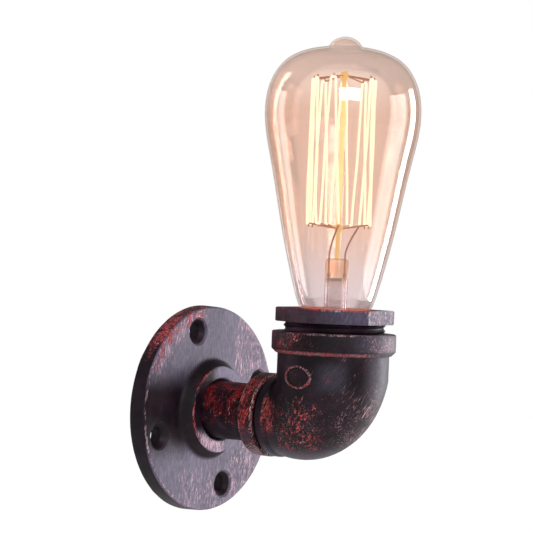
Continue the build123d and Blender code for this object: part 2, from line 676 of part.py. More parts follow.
def make_bulb_cap():
    cap_r = CAP_D / 2
    skirt_r = CAP_SKIRT_D / 2
    wall = CAP_WALL
    return turned_on_bulb([
        (cap_r - 1.6, CAP_BASE_Z),
        (cap_r - 0.6, CAP_BASE_Z),
        (cap_r, CAP_BASE_Z + 1.0),
        (cap_r, CAP_SKIRT_Z),
        (skirt_r, CAP_SKIRT_Z + 0.8),
        (skirt_r, CAP_TOP_Z),
        (skirt_r - wall, CAP_TOP_Z),
        (skirt_r - wall, CAP_SKIRT_Z + 0.8),
        (cap_r - wall, CAP_SKIRT_Z),
        (cap_r - wall, CAP_BASE_Z + 1.2),
        (cap_r - 0.8, CAP_BASE_Z + wall),
        (cap_r - 1.6, CAP_BASE_Z + wall),
    ])


def make_cap_cement():
    outer_r = CAP_D / 2 - CAP_WALL - BOND_GAP
    inner_r = NECK_D / 2 + BOND_GAP
    return turned_on_bulb([
        (inner_r, NECK_BASE_Z),
        (outer_r, NECK_BASE_Z),
        (outer_r, CAP_SKIRT_Z - 0.2),
        (inner_r, CAP_SKIRT_Z - 0.2),
    ])


def make_cap_insulator():
    top_r = CAP_D / 2 - 1.7
    contact_top = BULB_FOOT_Z + CONTACT_T
    return turned_on_bulb([
        (0, contact_top + BOND_GAP),
        (CONTACT_D / 2 + 0.6, contact_top + BOND_GAP),
        (top_r, CAP_BASE_Z),
        (top_r, CAP_BASE_Z + 1.6),
        (0, CAP_BASE_Z + 1.6),
    ])


def make_cap_contact():
    contact_r = CONTACT_D / 2
    return turned_on_bulb([
        (0, BULB_FOOT_Z),
        (contact_r * 0.6, BULB_FOOT_Z),
        (contact_r, BULB_FOOT_Z + CONTACT_T * 0.55),
        (contact_r, BULB_FOOT_Z + CONTACT_T),
        (0, BULB_FOOT_Z + CONTACT_T),
    ], (0, 0, 0.3, 0, 0))


def make_glass_stem():
    """Flared glass foot sealed into the neck, pressed flat round the lead-in wires."""
    flare_r = NECK_D / 2 - GLASS_WALL - BOND_GAP
    stem_r = STEM_D / 2
    foot = NECK_BASE_Z + 0.2
    stem = turned_on_bulb([
        (flare_r - 1.0, foot),
        (flare_r, foot),
        (flare_r, foot + 1.0),
        (stem_r, foot + 7.5),
        (stem_r, STEM_PRESS_Z + 1.0),
        (stem_r - 1.2, STEM_PRESS_Z + 1.0),
        (stem_r - 1.2, foot + 7.0),
    ], (0, 0, 0.3, 5.0, 0, 0, 4.0))
    press = Box(STEM_D, STEM_PRESS_T, STEM_TOP_Z - STEM_PRESS_Z, align=(Align.CENTER, Align.CENTER, Align.MIN))
    press = fillet(press.edges().filter_by(Axis.Z), 1.6)
    press = fillet(press.edges().group_by(Axis.Z)[-1], 0.9)
    cap = bulb_cylinder(stem_r, STEM_PRESS_Z, STEM_PRESS_Z + 1.0)
    return stem + cap + Pos(0, -BULB_REACH, STEM_PRESS_Z) * Rot(0, 0, BULB_CLOCK) * press


def bead_height(at_top):
    """Height of the bead that a spider's wires leave."""
    return CAGE_TOP_Z + SUPPORT_RISE if at_top else CAGE_BASE_Z - SUPPORT_RISE


def make_centre_rod():
    """Glass rod from the press to the top bead, with the two beads melted on it."""
    rod = bulb_cylinder(ROD_D / 2, STEM_TOP_Z, bead_height(True))
    for at_top in (True, False):
        rod += Pos(0, -BULB_REACH, bead_height(at_top)) * Sphere(BEAD_D / 2)
    return rod


def bottom_angle(count):
    """Angle of a place on the cage's lower ring: count 0 and CAGE_HOOKS are the lead ends."""
    return BULB_CLOCK + CAGE_START + CAGE_PITCH * count


def top_angle(count):
    """Angle of a hook on the cage's upper ring, midway between two lower places."""
    return bottom_angle(count + 0.5)


def make_spider(angles, ring_z, at_top):
    """Support wires from a bead, each ending in a short hook past the filament."""
    wires = []
    bead_z = bead_height(at_top)
    hook_way = 1 if at_top else -1
    inner_r = BEAD_D / 2 + MELT_GAP
    hook_r = CAGE_D / 2 - FILAMENT_D / 2 - SUPPORT_D / 2 - BOND_GAP
    for angle in angles:
        points = [
            on_bulb(inner_r, angle, bead_z),
            on_bulb(hook_r, angle, ring_z - hook_way * 0.2),
            on_bulb(hook_r, angle, ring_z + hook_way * HOOK_LENGTH),
        ]
        wires.append(bent_rod(points, SUPPORT_D, ease=0.4))
    return Compound(children=wires)


def make_top_supports():
    angles = [top_angle(count) for count in range(CAGE_HOOKS)]
    return make_spider(angles, CAGE_TOP_Z, True)


def make_bottom_supports():
    angles = [bottom_angle(count) for count in range(1, CAGE_HOOKS)]
    return make_spider(angles, CAGE_BASE_Z, False)


def make_filament():
    """One wire run up and down round the hooks, open at the two lead ends."""
    cage_r = CAGE_D / 2
    half_turn = degrees(HOOK_TURN / 2 / cage_r)
    places = [on_bulb(cage_r, bottom_angle(0), CAGE_BASE_Z)]
    for count in range(CAGE_HOOKS):
        places.append(on_bulb(cage_r, top_angle(count) - half_turn, CAGE_TOP_Z))
        places.append(on_bulb(cage_r, top_angle(count) + half_turn, CAGE_TOP_Z))
        if count < CAGE_HOOKS - 1:
            places.append(on_bulb(cage_r, bottom_angle(count + 1) - half_turn, CAGE_BASE_Z))
            places.append(on_bulb(cage_r, bottom_angle(count + 1) + half_turn, CAGE_BASE_Z))
    places.append(on_bulb(cage_r, bottom_angle(CAGE_HOOKS), CAGE_BASE_Z))
    path = FilletPolyline(*places, radius=HOOK_TURN * 0.42)
    plane = Plane(origin=path @ 0, z_dir=path % 0)
    return sweep(plane * Circle(FILAMENT_D / 2), path)


def make_lead_in_wire(count, side):
    """Stiff wire from the press's top, side -1 or +1 along its width, to a filament end."""
    press_x = side * (STEM_D / 2 - 1.5)
    across = radians(BULB_CLOCK)
    foot = (press_x * cos(across), -BULB_REACH + press_x * sin(across))
    end_angle = bottom_angle(count)
    end = on_bulb(CAGE_D / 2, end_angle, CAGE_BASE_Z - FILAMENT_D / 2 - LEAD_IN_D / 2)
    knee = (foot[0] * 1.05, foot[1] * 1.0, STEM_TOP_Z + 4.0)
    points = [(foot[0], foot[1], STEM_TOP_Z + 0.02), knee, end]
    return bent_rod(points, LEAD_IN_D)


# ---- Build and write every piece
PIECES = {
    "wall_flange": make_wall_flange,
    "pipe_nipple": make_pipe_nipple,
    "reducer_bush": make_reducer_bush,
    "elbow": make_elbow,
    "hex_bushing": make_hex_bushing,
    "lampholder_body": make_lampholder_body,
    "screw_shell": make_screw_shell,
    "centre_terminal": make_centre_terminal,
    "shell_terminal": make_shell_terminal,
    "terminal_screws": make_terminal_screws,
    "centre_contact": make_centre_contact,
    "line_lead": lambda: make_supply_lead(CENTRE_TERMINAL_X),
    "neutral_lead": lambda: make_supply_lead(SHELL_TERMINAL_X),
    "earth_lead": make_earth_lead,
    "earth_lug": make_earth_lug,
    "earth_screw": make_earth_screw,
    "bulb_envelope": make_bulb_envelope,
    "bulb_cap": make_bulb_cap,
    "cap_cement": make_cap_cement,
    "cap_insulator": make_cap_insulator,
    "cap_contact": make_cap_contact,
    "glass_stem": make_glass_stem,
    "centre_rod": make_centre_rod,
    "top_supports": make_top_supports,
    "bottom_supports": make_bottom_supports,
    "filament": make_filament,
    "lead_in_wire_left": lambda: make_lead_in_wire(CAGE_HOOKS, -1),
    "lead_in_wire_right": lambda: make_lead_in_wire(0, 1),
}

os.makedirs("parts", exist_ok=True)
for name, make in PIECES.items():
    piece = make()
    export_step(piece, f"parts/{name}.step")
    print(f"{name}: {len(piece.solids())} solids, {piece.volume:.1f} mm3")
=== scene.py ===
"""Looks of an industrial pipe wall light: brushed castings and a glowing caged filament bulb."""
import logging
import math
import random
from dataclasses import dataclass
from enum import Enum
from typing import Callable, Iterable, Sequence

import bpy
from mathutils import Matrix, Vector


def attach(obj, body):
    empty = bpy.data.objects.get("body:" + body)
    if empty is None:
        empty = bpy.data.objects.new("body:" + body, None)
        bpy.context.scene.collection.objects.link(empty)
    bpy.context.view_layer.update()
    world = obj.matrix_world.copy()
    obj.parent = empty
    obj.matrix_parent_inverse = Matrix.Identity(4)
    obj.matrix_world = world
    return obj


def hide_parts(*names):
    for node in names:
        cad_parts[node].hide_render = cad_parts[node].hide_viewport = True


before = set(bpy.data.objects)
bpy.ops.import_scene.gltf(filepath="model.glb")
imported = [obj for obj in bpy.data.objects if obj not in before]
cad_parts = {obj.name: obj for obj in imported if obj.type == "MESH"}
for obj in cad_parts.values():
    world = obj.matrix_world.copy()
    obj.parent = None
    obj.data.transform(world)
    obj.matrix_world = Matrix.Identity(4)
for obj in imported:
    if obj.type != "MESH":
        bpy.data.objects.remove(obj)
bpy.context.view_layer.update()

MM = 0.001                  # one millimetre in metres
REACH = 70.75               # wall to the bulb's axis, mm, as in the CAD
POLE = 0.01                 # radius in mm of a ring that closes to a point
OVERRUN = 2.0               # how far in mm a cutting body runs past what it cuts
FITTING_SIDES = 112         # points round the elbow's and the bushing's circles
TO_RIGHT = (0.606, -0.795)  # direction in X and Y that a viewer at the camera's side calls right
log = logging.getLogger("wall_light")
Piece = bpy.types.Object
Material = bpy.types.Material
Socket = bpy.types.NodeSocket
Colour = tuple[float, float, float]
Axes = tuple[float, float, float]    # a factor or an angle in degrees for each of X, Y and Z
Corner = tuple[float, float, float]  # across, along and easing radius, in mm
Outline = list[tuple[float, float]]  # points across and along, in mm


# ---- Modelling
@dataclass(frozen=True)
class Ring:
    """One circle of a turned or bent body, in metres.

    lean is the angle in degrees from square to the pipe (0) to square to the bulb's axis (90).
    """

    centre: Vector
    radius: float
    lean: float


class Ends(Enum):
    """How a stack of rings closes."""

    JOINED = "last ring bridged to the first"
    POLES = "both end rings drawn to a point or filled"


def bulb_ring(radius: float, height: float) -> Ring:
    """Ring about the bulb's axis, from mm."""
    return Ring(Vector((0, -REACH, height)) * MM, max(radius, POLE) * MM, 90.0)


def pipe_ring(radius: float, out: float) -> Ring:
    """Ring about the pipe's axis at a distance out from the wall, from mm."""
    return Ring(Vector((0, -out, 0)) * MM, max(radius, POLE) * MM, 0.0)


def own_ring(radius: float, height: float) -> Ring:
    """Ring about the Z axis of the frame, from mm."""
    return Ring(Vector((0, 0, height)) * MM, max(radius, POLE) * MM, 90.0)


def deselect() -> None:
    """Select nothing."""
    bpy.ops.object.select_all(action="DESELECT")


def only(piece: Piece) -> None:
    """Select one piece and make it the active one."""
    deselect()
    piece.select_set(True)
    bpy.context.view_layer.objects.active = piece


def bake() -> None:
    """Settle the selected piece's place, turn and size in its mesh."""
    bpy.ops.object.transform_apply(location=True, rotation=True, scale=True)


def pick_open_edges() -> None:
    """In edit mode, select the edges that bound a hole."""
    bpy.ops.mesh.select_mode(type="EDGE")
    bpy.ops.mesh.select_all(action="DESELECT")
    bpy.ops.mesh.select_non_manifold()


def end_edit(weld: float = 0.0) -> None:
    """Merge points closer than weld in mm, turn every face outwards and leave edit mode."""
    bpy.ops.mesh.select_all(action="SELECT")
    if weld:
        bpy.ops.mesh.remove_doubles(threshold=weld * MM)
    bpy.ops.mesh.normals_make_consistent(inside=False)
    bpy.ops.object.mode_set(mode="OBJECT")


def ring_body(name: str, rings: Sequence[Ring], sides: int = 96, ends: Ends = Ends.JOINED) -> Piece:
    """Body whose skin runs from ring to ring.

    Args:
        name: name of the new piece.
        rings: circles in order; the first is a primitive, each next one is extruded from it.
        sides: points round each circle.
        ends: how the two ends close.

    Returns:
        The piece, at the origin, its faces pointing outwards.
    """
    deselect()
    first = rings[0]
    tilt = math.radians(90 - first.lean)
    bpy.ops.mesh.primitive_circle_add(vertices=sides, radius=first.radius, fill_type="NOTHING",
                                      location=first.centre, rotation=(tilt, 0, 0))
    piece = bpy.context.object
    piece.name = name
    bake()
    bpy.ops.object.mode_set(mode="EDIT")
    for before, ring in zip(rings, rings[1:]):
        bpy.ops.mesh.extrude_region_move(TRANSFORM_OT_translate={"value": ring.centre - before.centre})
        growth = ring.radius / before.radius
        bpy.ops.transform.resize(value=(growth, growth, growth), center_override=ring.centre)
        if ring.lean != before.lean:
            turn = math.radians(ring.lean - before.lean)
            bpy.ops.transform.rotate(value=turn, orient_axis="X", center_override=ring.centre)
    pick_open_edges()
    if ends is Ends.JOINED:
        bpy.ops.mesh.bridge_edge_loops()
    else:
        bpy.ops.mesh.fill_holes(sides=0)
    end_edit(weld=3 * POLE)
    return piece


def rounded(corners: Sequence[Corner], steps: int = 4) -> Outline:
    """Closed outline with its corners eased.

    Args:
        corners: (across, along, easing radius) of each corner, in mm.
        steps: pieces that each eased corner is divided into.

    Returns:
        Points of the eased outline.
    """
    outline: Outline = []
    for index, (across, along, ease) in enumerate(corners):
        here = Vector((across, along))
        if ease == 0:
            outline.append((across, along))
            continue
        back = Vector(corners[index - 1][:2]) - here
        ahead = Vector(corners[(index + 1) % len(corners)][:2]) - here
        reach = ease / math.tan(back.angle(ahead) / 2)
        start = here + back.normalized() * reach
        end = here + ahead.normalized() * reach
        for step in range(steps + 1):
            share = step / steps
            point = start * (1 - share) ** 2 + here * 2 * share * (1 - share) + end * share ** 2
            outline.append((point.x, point.y))
    return outline


def filled_in(outline: Outline, longest: float) -> Outline:
    """Outline with points added so that no run of it is longer than a length in mm."""
    points: Outline = []
    for here, ahead in zip(outline, list(outline[1:]) + [outline[0]]):
        run = math.dist(here, ahead)
        parts = max(1, math.ceil(run / longest))
        for part in range(parts):
            share = part / parts
            points.append((here[0] + (ahead[0] - here[0]) * share, here[1] + (ahead[1] - here[1]) * share))
    return points


def turned(name: str, corners: Sequence[Corner], ring: Callable[[float, float], Ring],
           sides: int = 96, longest: float = 1000.0) -> Piece:
    """Hollow turned body from (radius, along, easing) corners about the axis that ring names."""
    outline = filled_in(rounded(corners), longest)
    return ring_body(name, [ring(radius, along) for radius, along in outline], sides)


def solid_turned(name: str, corners: Sequence[Corner], ring: Callable[[float, float], Ring],
                 sides: int = 64) -> Piece:
    """Solid turned body; the first and last corners lie on the axis."""
    return ring_body(name, [ring(radius, along) for radius, along in rounded(corners)], sides, Ends.POLES)


def apply_modifier(piece: Piece, kind: str, **settings: object) -> None:
    """Add a modifier with its settings and apply it."""
    only(piece)
    modifier = piece.modifiers.new(kind.title(), kind)
    for setting, value in settings.items():
        setattr(modifier, setting, value)
    bpy.ops.object.modifier_apply(modifier=modifier.name)


def ease_edges(piece: Piece, width: float, segments: int, angle: float = 30.0) -> None:
    """Bevel by a width in mm the edges that turn by more than an angle in degrees."""
    apply_modifier(piece, "BEVEL", width=width * MM, segments=segments, limit_method="ANGLE",
                   angle_limit=math.radians(angle))


def combine(piece: Piece, tool: Piece, operation: str) -> None:
    """Join to, cut from or keep of a piece what a tool body covers, and remove the tool."""
    apply_modifier(piece, "BOOLEAN", operation=operation, object=tool, solver="EXACT")
    bpy.data.objects.remove(tool)


def join(pieces: Sequence[Piece], name: str) -> Piece:
    """Make several bodies one piece."""
    deselect()
    for piece in pieces:
        piece.select_set(True)
    bpy.context.view_layer.objects.active = pieces[0]
    bpy.ops.object.join()
    joined = bpy.context.object
    joined.name = name
    return joined


def smooth(piece: Piece, angle: float = 32.0) -> Piece:
    """Shade smooth up to an angle in degrees, and return the piece."""
    only(piece)
    bpy.ops.object.shade_smooth_by_angle(angle=math.radians(angle))
    return piece


def place(piece: Piece, centre: Vector, turn: Axes = (0, 0, 0)) -> None:
    """Turn a body by angles in degrees, move it, and settle both in its mesh."""
    only(piece)
    piece.rotation_euler = [math.radians(angle) for angle in turn]
    piece.location = centre
    bake()


def cast_unevenness(piece: Piece, depth: float, grain: float) -> None:
    """Give a casting's skin its slight hollows and swells, depth and grain in mm."""
    clouds = bpy.data.textures.new(f"{piece.name}_sand", "CLOUDS")
    clouds.noise_scale = grain * MM
    clouds.noise_depth = 2
    apply_modifier(
        piece, "DISPLACE", texture=clouds, strength=depth * MM, mid_level=0.6, texture_coords="LOCAL")


def thread_ridge(radius: float, depth: float, pitch: float, turns: int, sides: int = 4) -> Piece:
    """Screw thread about Z from the origin's height upwards.

    Args:
        radius: radius of the core that the ridge stands on, mm.
        depth: how far the ridge stands out, mm.
        pitch: rise of one turn, mm.
        turns: number of turns.
        sides: corners of the ridge's section; more make it rounder.

    Returns:
        The ridge as a closed body.
    """
    half_width = pitch * 0.46
    deselect()
    bpy.ops.mesh.primitive_circle_add(vertices=sides, radius=1.0, fill_type="NOTHING",
                                      location=(radius * MM, 0, 0), rotation=(math.pi / 2, 0, 0))
    ridge = bpy.context.object
    ridge.scale = (depth * MM, half_width * MM, 1)
    bake()
    apply_modifier(
        ridge, "SCREW", axis="Z", angle=2 * math.pi, screw_offset=pitch * MM,
        iterations=turns, steps=64, render_steps=64, use_smooth_shade=True)
    bpy.ops.object.mode_set(mode="EDIT")
    pick_open_edges()
    bpy.ops.mesh.fill_holes(sides=0)
    end_edit()
    return ridge


def wire(name: str, points: Sequence[Vector], thickness: float) -> Piece:
    """Round wire along points in metres, its thickness in mm, made a closed mesh."""
    deselect()
    bpy.ops.curve.primitive_nurbs_path_add(location=(0, 0, 0))
    path = bpy.context.object
    path.name = name
    spline = path.data.splines[0]
    route = list(points)
    while len(route) < len(spline.points):
        route.insert(1, (route[0] + route[1]) / 2)
    spline.points.add(len(route) - len(spline.points))
    for control, point in zip(spline.points, route):
        control.co = (*point, 1.0)
    spline.order_u = 3
    spline.use_endpoint_u = True
    path.data.resolution_u = 4
    path.data.bevel_depth = thickness / 2 * MM
    path.data.bevel_resolution = 2
    path.data.use_fill_caps = True
    bpy.ops.object.convert(target="MESH")
    bpy.ops.object.mode_set(mode="EDIT")
    end_edit(weld=POLE)
    return smooth(bpy.context.object, 60)


def on_bulb(radius: float, angle: float, height: float) -> Vector:
    """Point in metres at a radius, an angle in degrees from +X and a height about the bulb's axis."""
    turn = math.radians(angle)
    return Vector((radius * math.cos(turn), -REACH + radius * math.sin(turn), height)) * MM


# ---- Shader expressions
def operator(operation: str, swapped: bool = False) -> Callable[["Value", "Value | float"], "Value"]:
    """Operator of the Value class that adds a Math node.

    Args:
        operation: the node's operation.
        swapped: put the other term first, for a plain number on the left.

    Returns:
        The method.
    """
    def apply(self: "Value", other: "Value | float") -> "Value":
        """The operation on self and other."""
        return self.math(operation, *((other, self) if swapped else (self, other)))
    return apply


class Value:
    """A number socket of a material that takes part in Python expressions."""

    def __init__(self, tree: bpy.types.NodeTree, socket: Socket) -> None:
        """Wrap a socket of a node tree."""
        self.tree = tree
        self.socket = socket

    def math(self, operation: str, *terms: "Value | float") -> "Value":
        """Add a Math node on these terms and wrap its result."""
        node = self.tree.nodes.new("ShaderNodeMath")
        node.operation = operation
        for slot, term in zip(node.inputs, terms):
            if isinstance(term, Value):
                self.tree.links.new(term.socket, slot)
            else:
                slot.default_value = term
        return Value(self.tree, node.outputs[0])

    __add__ = operator("ADD")
    __radd__ = operator("ADD", swapped=True)
    __sub__ = operator("SUBTRACT")
    __rsub__ = operator("SUBTRACT", swapped=True)
    __mul__ = operator("MULTIPLY")
    __rmul__ = operator("MULTIPLY", swapped=True)
    __pow__ = operator("POWER")
    __or__ = operator("MAXIMUM")  # joins masks

    def __abs__(self) -> "Value":
        """Absolute value."""
        return self.math("ABSOLUTE", self)

    def ramp(self, low: float, high: float) -> "Value":
        """0 below low, 1 above high and a smooth rise between; low may be above high."""
        node = self.tree.nodes.new("ShaderNodeMapRange")
        node.interpolation_type = "SMOOTHSTEP"
        self.tree.links.new(self.socket, node.inputs["Value"])
        node.inputs["From Min"].default_value = min(low, high)
        node.inputs["From Max"].default_value = max(low, high)
        result = Value(self.tree, node.outputs["Result"])
        return result if low <= high else 1 - result

    def rise(self, low: float, high: float) -> "Value":
        """The same ramp of a length in metres, between two places in mm."""
        return self.ramp(low * MM, high * MM)

    def near(self, place: float, full: float, gone: float) -> "Value":
        """1 within full mm of a place in mm, fading to 0 at gone mm from it."""
        return abs(self - place * MM).rise(gone, full)

    def line(self, place: float, width: float) -> "Value":
        """Soft line at a place in mm that fades out over a width in mm."""
        return self.near(place, width * 0.35, width)


class Paint:
    """A procedural material under construction."""

    def __init__(self, name: str) -> None:
        """Start a material with only an output and this object's coordinates."""
        self.material = bpy.data.materials.new(name)
        self.material.use_nodes = True
        self.tree = self.material.node_tree
        self.tree.nodes.clear()
        self.output = self.node("ShaderNodeOutputMaterial")
        self.here = self.node("ShaderNodeTexCoord").outputs["Object"]
        parts = self.node("ShaderNodeSeparateXYZ", inputs={"Vector": self.here})
        self.x, self.y, self.z = (Value(self.tree, part) for part in parts.outputs)

    def node(self, kind: str, settings: dict | None = None, inputs: dict | None = None) -> bpy.types.Node:
        """Add a node.

        Args:
            kind: the node's type.
            settings: its settings, set first.
            inputs: values, sockets or Values for its input sockets, by name or index.

        Returns:
            The new node.
        """
        node = self.tree.nodes.new(kind)
        for setting, value in (settings or {}).items():
            setattr(node, setting, value)
        for key, value in (inputs or {}).items():
            if isinstance(value, Value):
                value = value.socket
            if isinstance(value, Socket):
                self.tree.links.new(value, node.inputs[key])
            else:
                node.inputs[key].default_value = value
        return node

    def noise(self, size: float, detail: float = 3.0, stretch: Axes = (1, 1, 1),
              turn: Axes = (0, 0, 0), roughness: float = 0.55) -> Value:
        """Cloudy noise.

        Args:
            size: size in mm of its lumps.
            detail: how many finer layers it has.
            stretch: how much longer the lumps are along each axis.
            turn: degrees by which the stretched axes are turned.
            roughness: weight of the finer layers.

        Returns:
            The noise, about 0.5 on average.
        """
        mapped = self.node("ShaderNodeMapping", {"vector_type": "TEXTURE"}, {
            "Vector": self.here,
            "Rotation": [math.radians(angle) for angle in turn],
            "Scale": [size * MM * factor for factor in stretch],
        })
        made = self.node("ShaderNodeTexNoise", inputs={
            "Vector": mapped.outputs[0], "Scale": 1.0, "Detail": detail, "Roughness": roughness})
        return Value(self.tree, made.outputs["Fac"])

    def mix(self, first: Colour | Socket, second: Colour | Socket, share: Value | float) -> Socket:
        """Colour that goes from first to second as share goes from 0 to 1."""
        colours = [c if isinstance(c, Socket) else (*c, 1.0) for c in (first, second)]
        made = self.node("ShaderNodeMix", {"data_type": "RGBA"}, {0: share, 6: colours[0], 7: colours[1]})
        return made.outputs[2]

    def blend(self, first: bpy.types.Node, second: bpy.types.Node, share: Value) -> bpy.types.Node:
        """Shader that goes from first to second as share goes from 0 to 1."""
        return self.node("ShaderNodeMixShader", inputs={
            0: share, 1: first.outputs[0], 2: second.outputs[0]})

    def bump(self, height: Value, depth: float) -> Socket:
        """Normal for a relief whose full depth is given in mm."""
        made = self.node("ShaderNodeBump", inputs={"Height": height, "Distance": depth * MM, "Strength": 1.0})
        return made.outputs["Normal"]

    def principled(self, **sockets: object) -> bpy.types.Node:
        """Principled shader with sockets named by their labels, underscores for spaces."""
        return self.node("ShaderNodeBsdfPrincipled", inputs={
            label.replace("_", " "): value for label, value in sockets.items()})

    def show(self, shader: bpy.types.Node) -> Material:
        """Put a shader on the surface and return the material."""
        self.tree.links.new(shader.outputs[0], self.output.inputs["Surface"])
        return self.material


def dress(piece: Piece, material: Material) -> None:
    """Give a piece one material."""
    piece.data.materials.clear()
    piece.data.materials.append(material)


def toned(colour: Colour, *factors: float) -> Colour:
    """Colour with its channels scaled, by one factor or by one each."""
    return tuple(c * factor for c, factor in zip(colour, factors if len(factors) == 3 else factors * 3))


# ---- Finishes
Mask = Callable[[Paint], Value]


@dataclass(frozen=True)
class BrushedCasting:
    """Black paint over cast iron, dry-brushed with copper red and worn pale by rubbing on its high places.

    Each amount goes from 0 to 1. streak and slant give the length and lean of the brush strokes. sheen_tint
    is a painted blue-grey sheen that stands for reflected light, and the shaded mask marks painted shade.
    """

    name: str
    dark: Colour = (0.005, 0.003, 0.005)
    plum: Colour = (0.022, 0.010, 0.017)
    red: Colour = (0.40, 0.034, 0.036)
    pale: Colour = (0.58, 0.34, 0.38)
    # painted sheen: a blue-grey reflection of the lamps put into the colour
    sheen_tint: Colour = (0.20, 0.185, 0.26)
    red_amount: float = 0.5
    pale_amount: float = 0.3
    sheen_amount: float = 0.3
    scrapes: float = 0.8
    streak: Axes = (1, 1, 7)
    slant: Axes = (16, 12, 0)
    roughness: float = 0.42

    def build(self, wear: Mask, shaded: Mask, pale_where: Mask | None = None,
              painted_sheen: Mask | None = None) -> Material:
        """Make the material.

        Args:
            wear: where the red brushing is thickest.
            shaded: painted shade, where the black is left clear of brushing.
            pale_where: where the pale shows thickest, rubbing and on some pieces a painted reflection, or
                None for scattered patches.
            painted_sheen: where the painted blue-grey sheen of reflected light shows, or None for broad
                clouds.

        Returns:
            The material.
        """
        paint = Paint(self.name)
        clouds = paint.noise(14, 4)
        grain = paint.noise(0.38, 3, roughness=0.7)
        strokes = paint.noise(0.55, 3, self.streak, self.slant, 0.6)
        texture = strokes * 0.56 + grain * 0.44
        colour = paint.mix(self.dark, self.plum, (clouds * 0.5 + grain * 0.5).ramp(0.44, 0.60))
        # painted sheen of reflected light, streaked like the brushing
        sheen_zone = (painted_sheen(paint) if painted_sheen else clouds.ramp(0.5, 0.75)) * self.sheen_amount
        sheen = paint.mix(self.sheen_tint, toned(self.sheen_tint, 1.75, 1.62, 1.62), texture.ramp(0.42, 0.62))
        colour = paint.mix(colour, sheen, sheen_zone * (0.75 + 0.5 * (texture - 0.5)))
        # painted shade: no red or pale brushing where the shaded mask is, so the black shows
        unshaded = 1 - shaded(paint)
        ragged = paint.noise(3.6, 4, (1, 1, 2.2), self.slant, 0.65).ramp(0.43, 0.58)
        patches = paint.noise(8, 3).ramp(0.48, 0.68) * self.red_amount
        red_zone = (patches | wear(paint)) * unshaded * (0.25 + 0.75 * ragged)
        red_mask = (texture + red_zone * 0.11).ramp(0.545, 0.60) * red_zone.ramp(0.0, 0.5)
        deep_red = toned(self.red, 0.18, 0.15, 0.20)
        tone = paint.noise(0.6, 3, (1, 1, 4), self.slant, 0.65)
        red_tone = paint.mix(deep_red, self.red, (tone + red_zone * 0.05).ramp(0.45, 0.66))
        colour = paint.mix(colour, red_tone, red_mask)
        scratch = paint.noise(0.32, 2, (1, 1, 12), self.slant, 0.5)
        flecks = scratch * 0.66 + grain * 0.34
        pale_patches = paint.noise(7, 3, (1, 1, 1.6)).ramp(0.5, 0.7) * self.pale_amount
        worn = 0.30 + 0.70 * (1.1 - ragged)
        pale_zone = (pale_patches | (pale_where(paint) if pale_where else pale_patches)) * unshaded * worn
        pale_mask = (flecks + pale_zone * 0.10).ramp(0.575, 0.65) * pale_zone.ramp(0.0, 0.5)
        dull = toned(self.pale, 0.42)
        pale_tone = paint.mix(dull, self.pale, (flecks + pale_zone * 0.07).ramp(0.58, 0.68))
        colour = paint.mix(colour, pale_tone, pale_mask)
        scrapes = paint.noise(0.45, 1, (1, 1, 26), self.slant, 0.4).ramp(0.655, 0.70) * self.scrapes
        scrapes = scrapes * paint.noise(5, 2).ramp(0.45, 0.60) * (red_zone | pale_zone).ramp(0.05, 0.4)
        colour = paint.mix(colour, self.pale, scrapes)
        relief = grain * 0.6 + red_mask * 0.2 + pale_mask * 0.2
        shader = paint.principled(
            Base_Color=colour,
            Roughness=self.roughness + 0.18 * red_mask + 0.12 * pale_mask,
            Metallic=0.1 + 0.3 * pale_mask,
            Specular_IOR_Level=0.14,
            Normal=paint.bump(relief, 0.12),
        )
        return paint.show(shader)


@dataclass(frozen=True)
class PlainFinish:
    """An even finish with slight changes of tone and a fine grain."""

    name: str
    colour: Colour
    shade: float = 0.75
    roughness: float = 0.4
    metallic: float = 0.0
    grain: float = 0.8
    grain_depth: float = 0.02
    coat: float = 0.0

    def build(self) -> Material:
        """Make the material."""
        paint = Paint(self.name)
        tone = paint.noise(self.grain * 5, 4)
        fine = paint.noise(self.grain, 4)
        colour = paint.mix(self.colour, toned(self.colour, self.shade), tone.ramp(0.4, 0.7))
        return paint.show(paint.principled(
            Base_Color=colour,
            Roughness=self.roughness + 0.15 * fine,
            Metallic=self.metallic,
            Coat_Weight=self.coat,
            Normal=paint.bump(fine, self.grain_depth),
        ))


def metal(name: str, colour: Colour, roughness: float, shade: float = 0.75) -> PlainFinish:
    """Bare metal of one colour."""
    return PlainFinish(name, colour, shade, roughness, metallic=1.0)


@dataclass(frozen=True)
class SleeveFinish:
    """Braided heat-resisting sleeve."""

    name: str
    colour: Colour

    def build(self) -> Material:
        """Make the material."""
        paint = Paint(self.name)
        lean = 30  # degrees of the braid's two lays to the lead
        weave = (paint.noise(0.35, 2, (1, 4, 1), (0, 0, lean))
                 * paint.noise(0.35, 2, (1, 4, 1), (0, 0, -lean)))
        colour = paint.mix(self.colour, toned(self.colour, 0.4), weave.ramp(0.18, 0.34))
        return paint.show(paint.principled(
            Base_Color=colour, Roughness=0.75 + 0.1 * weave, Normal=paint.bump(weave, 0.15)))


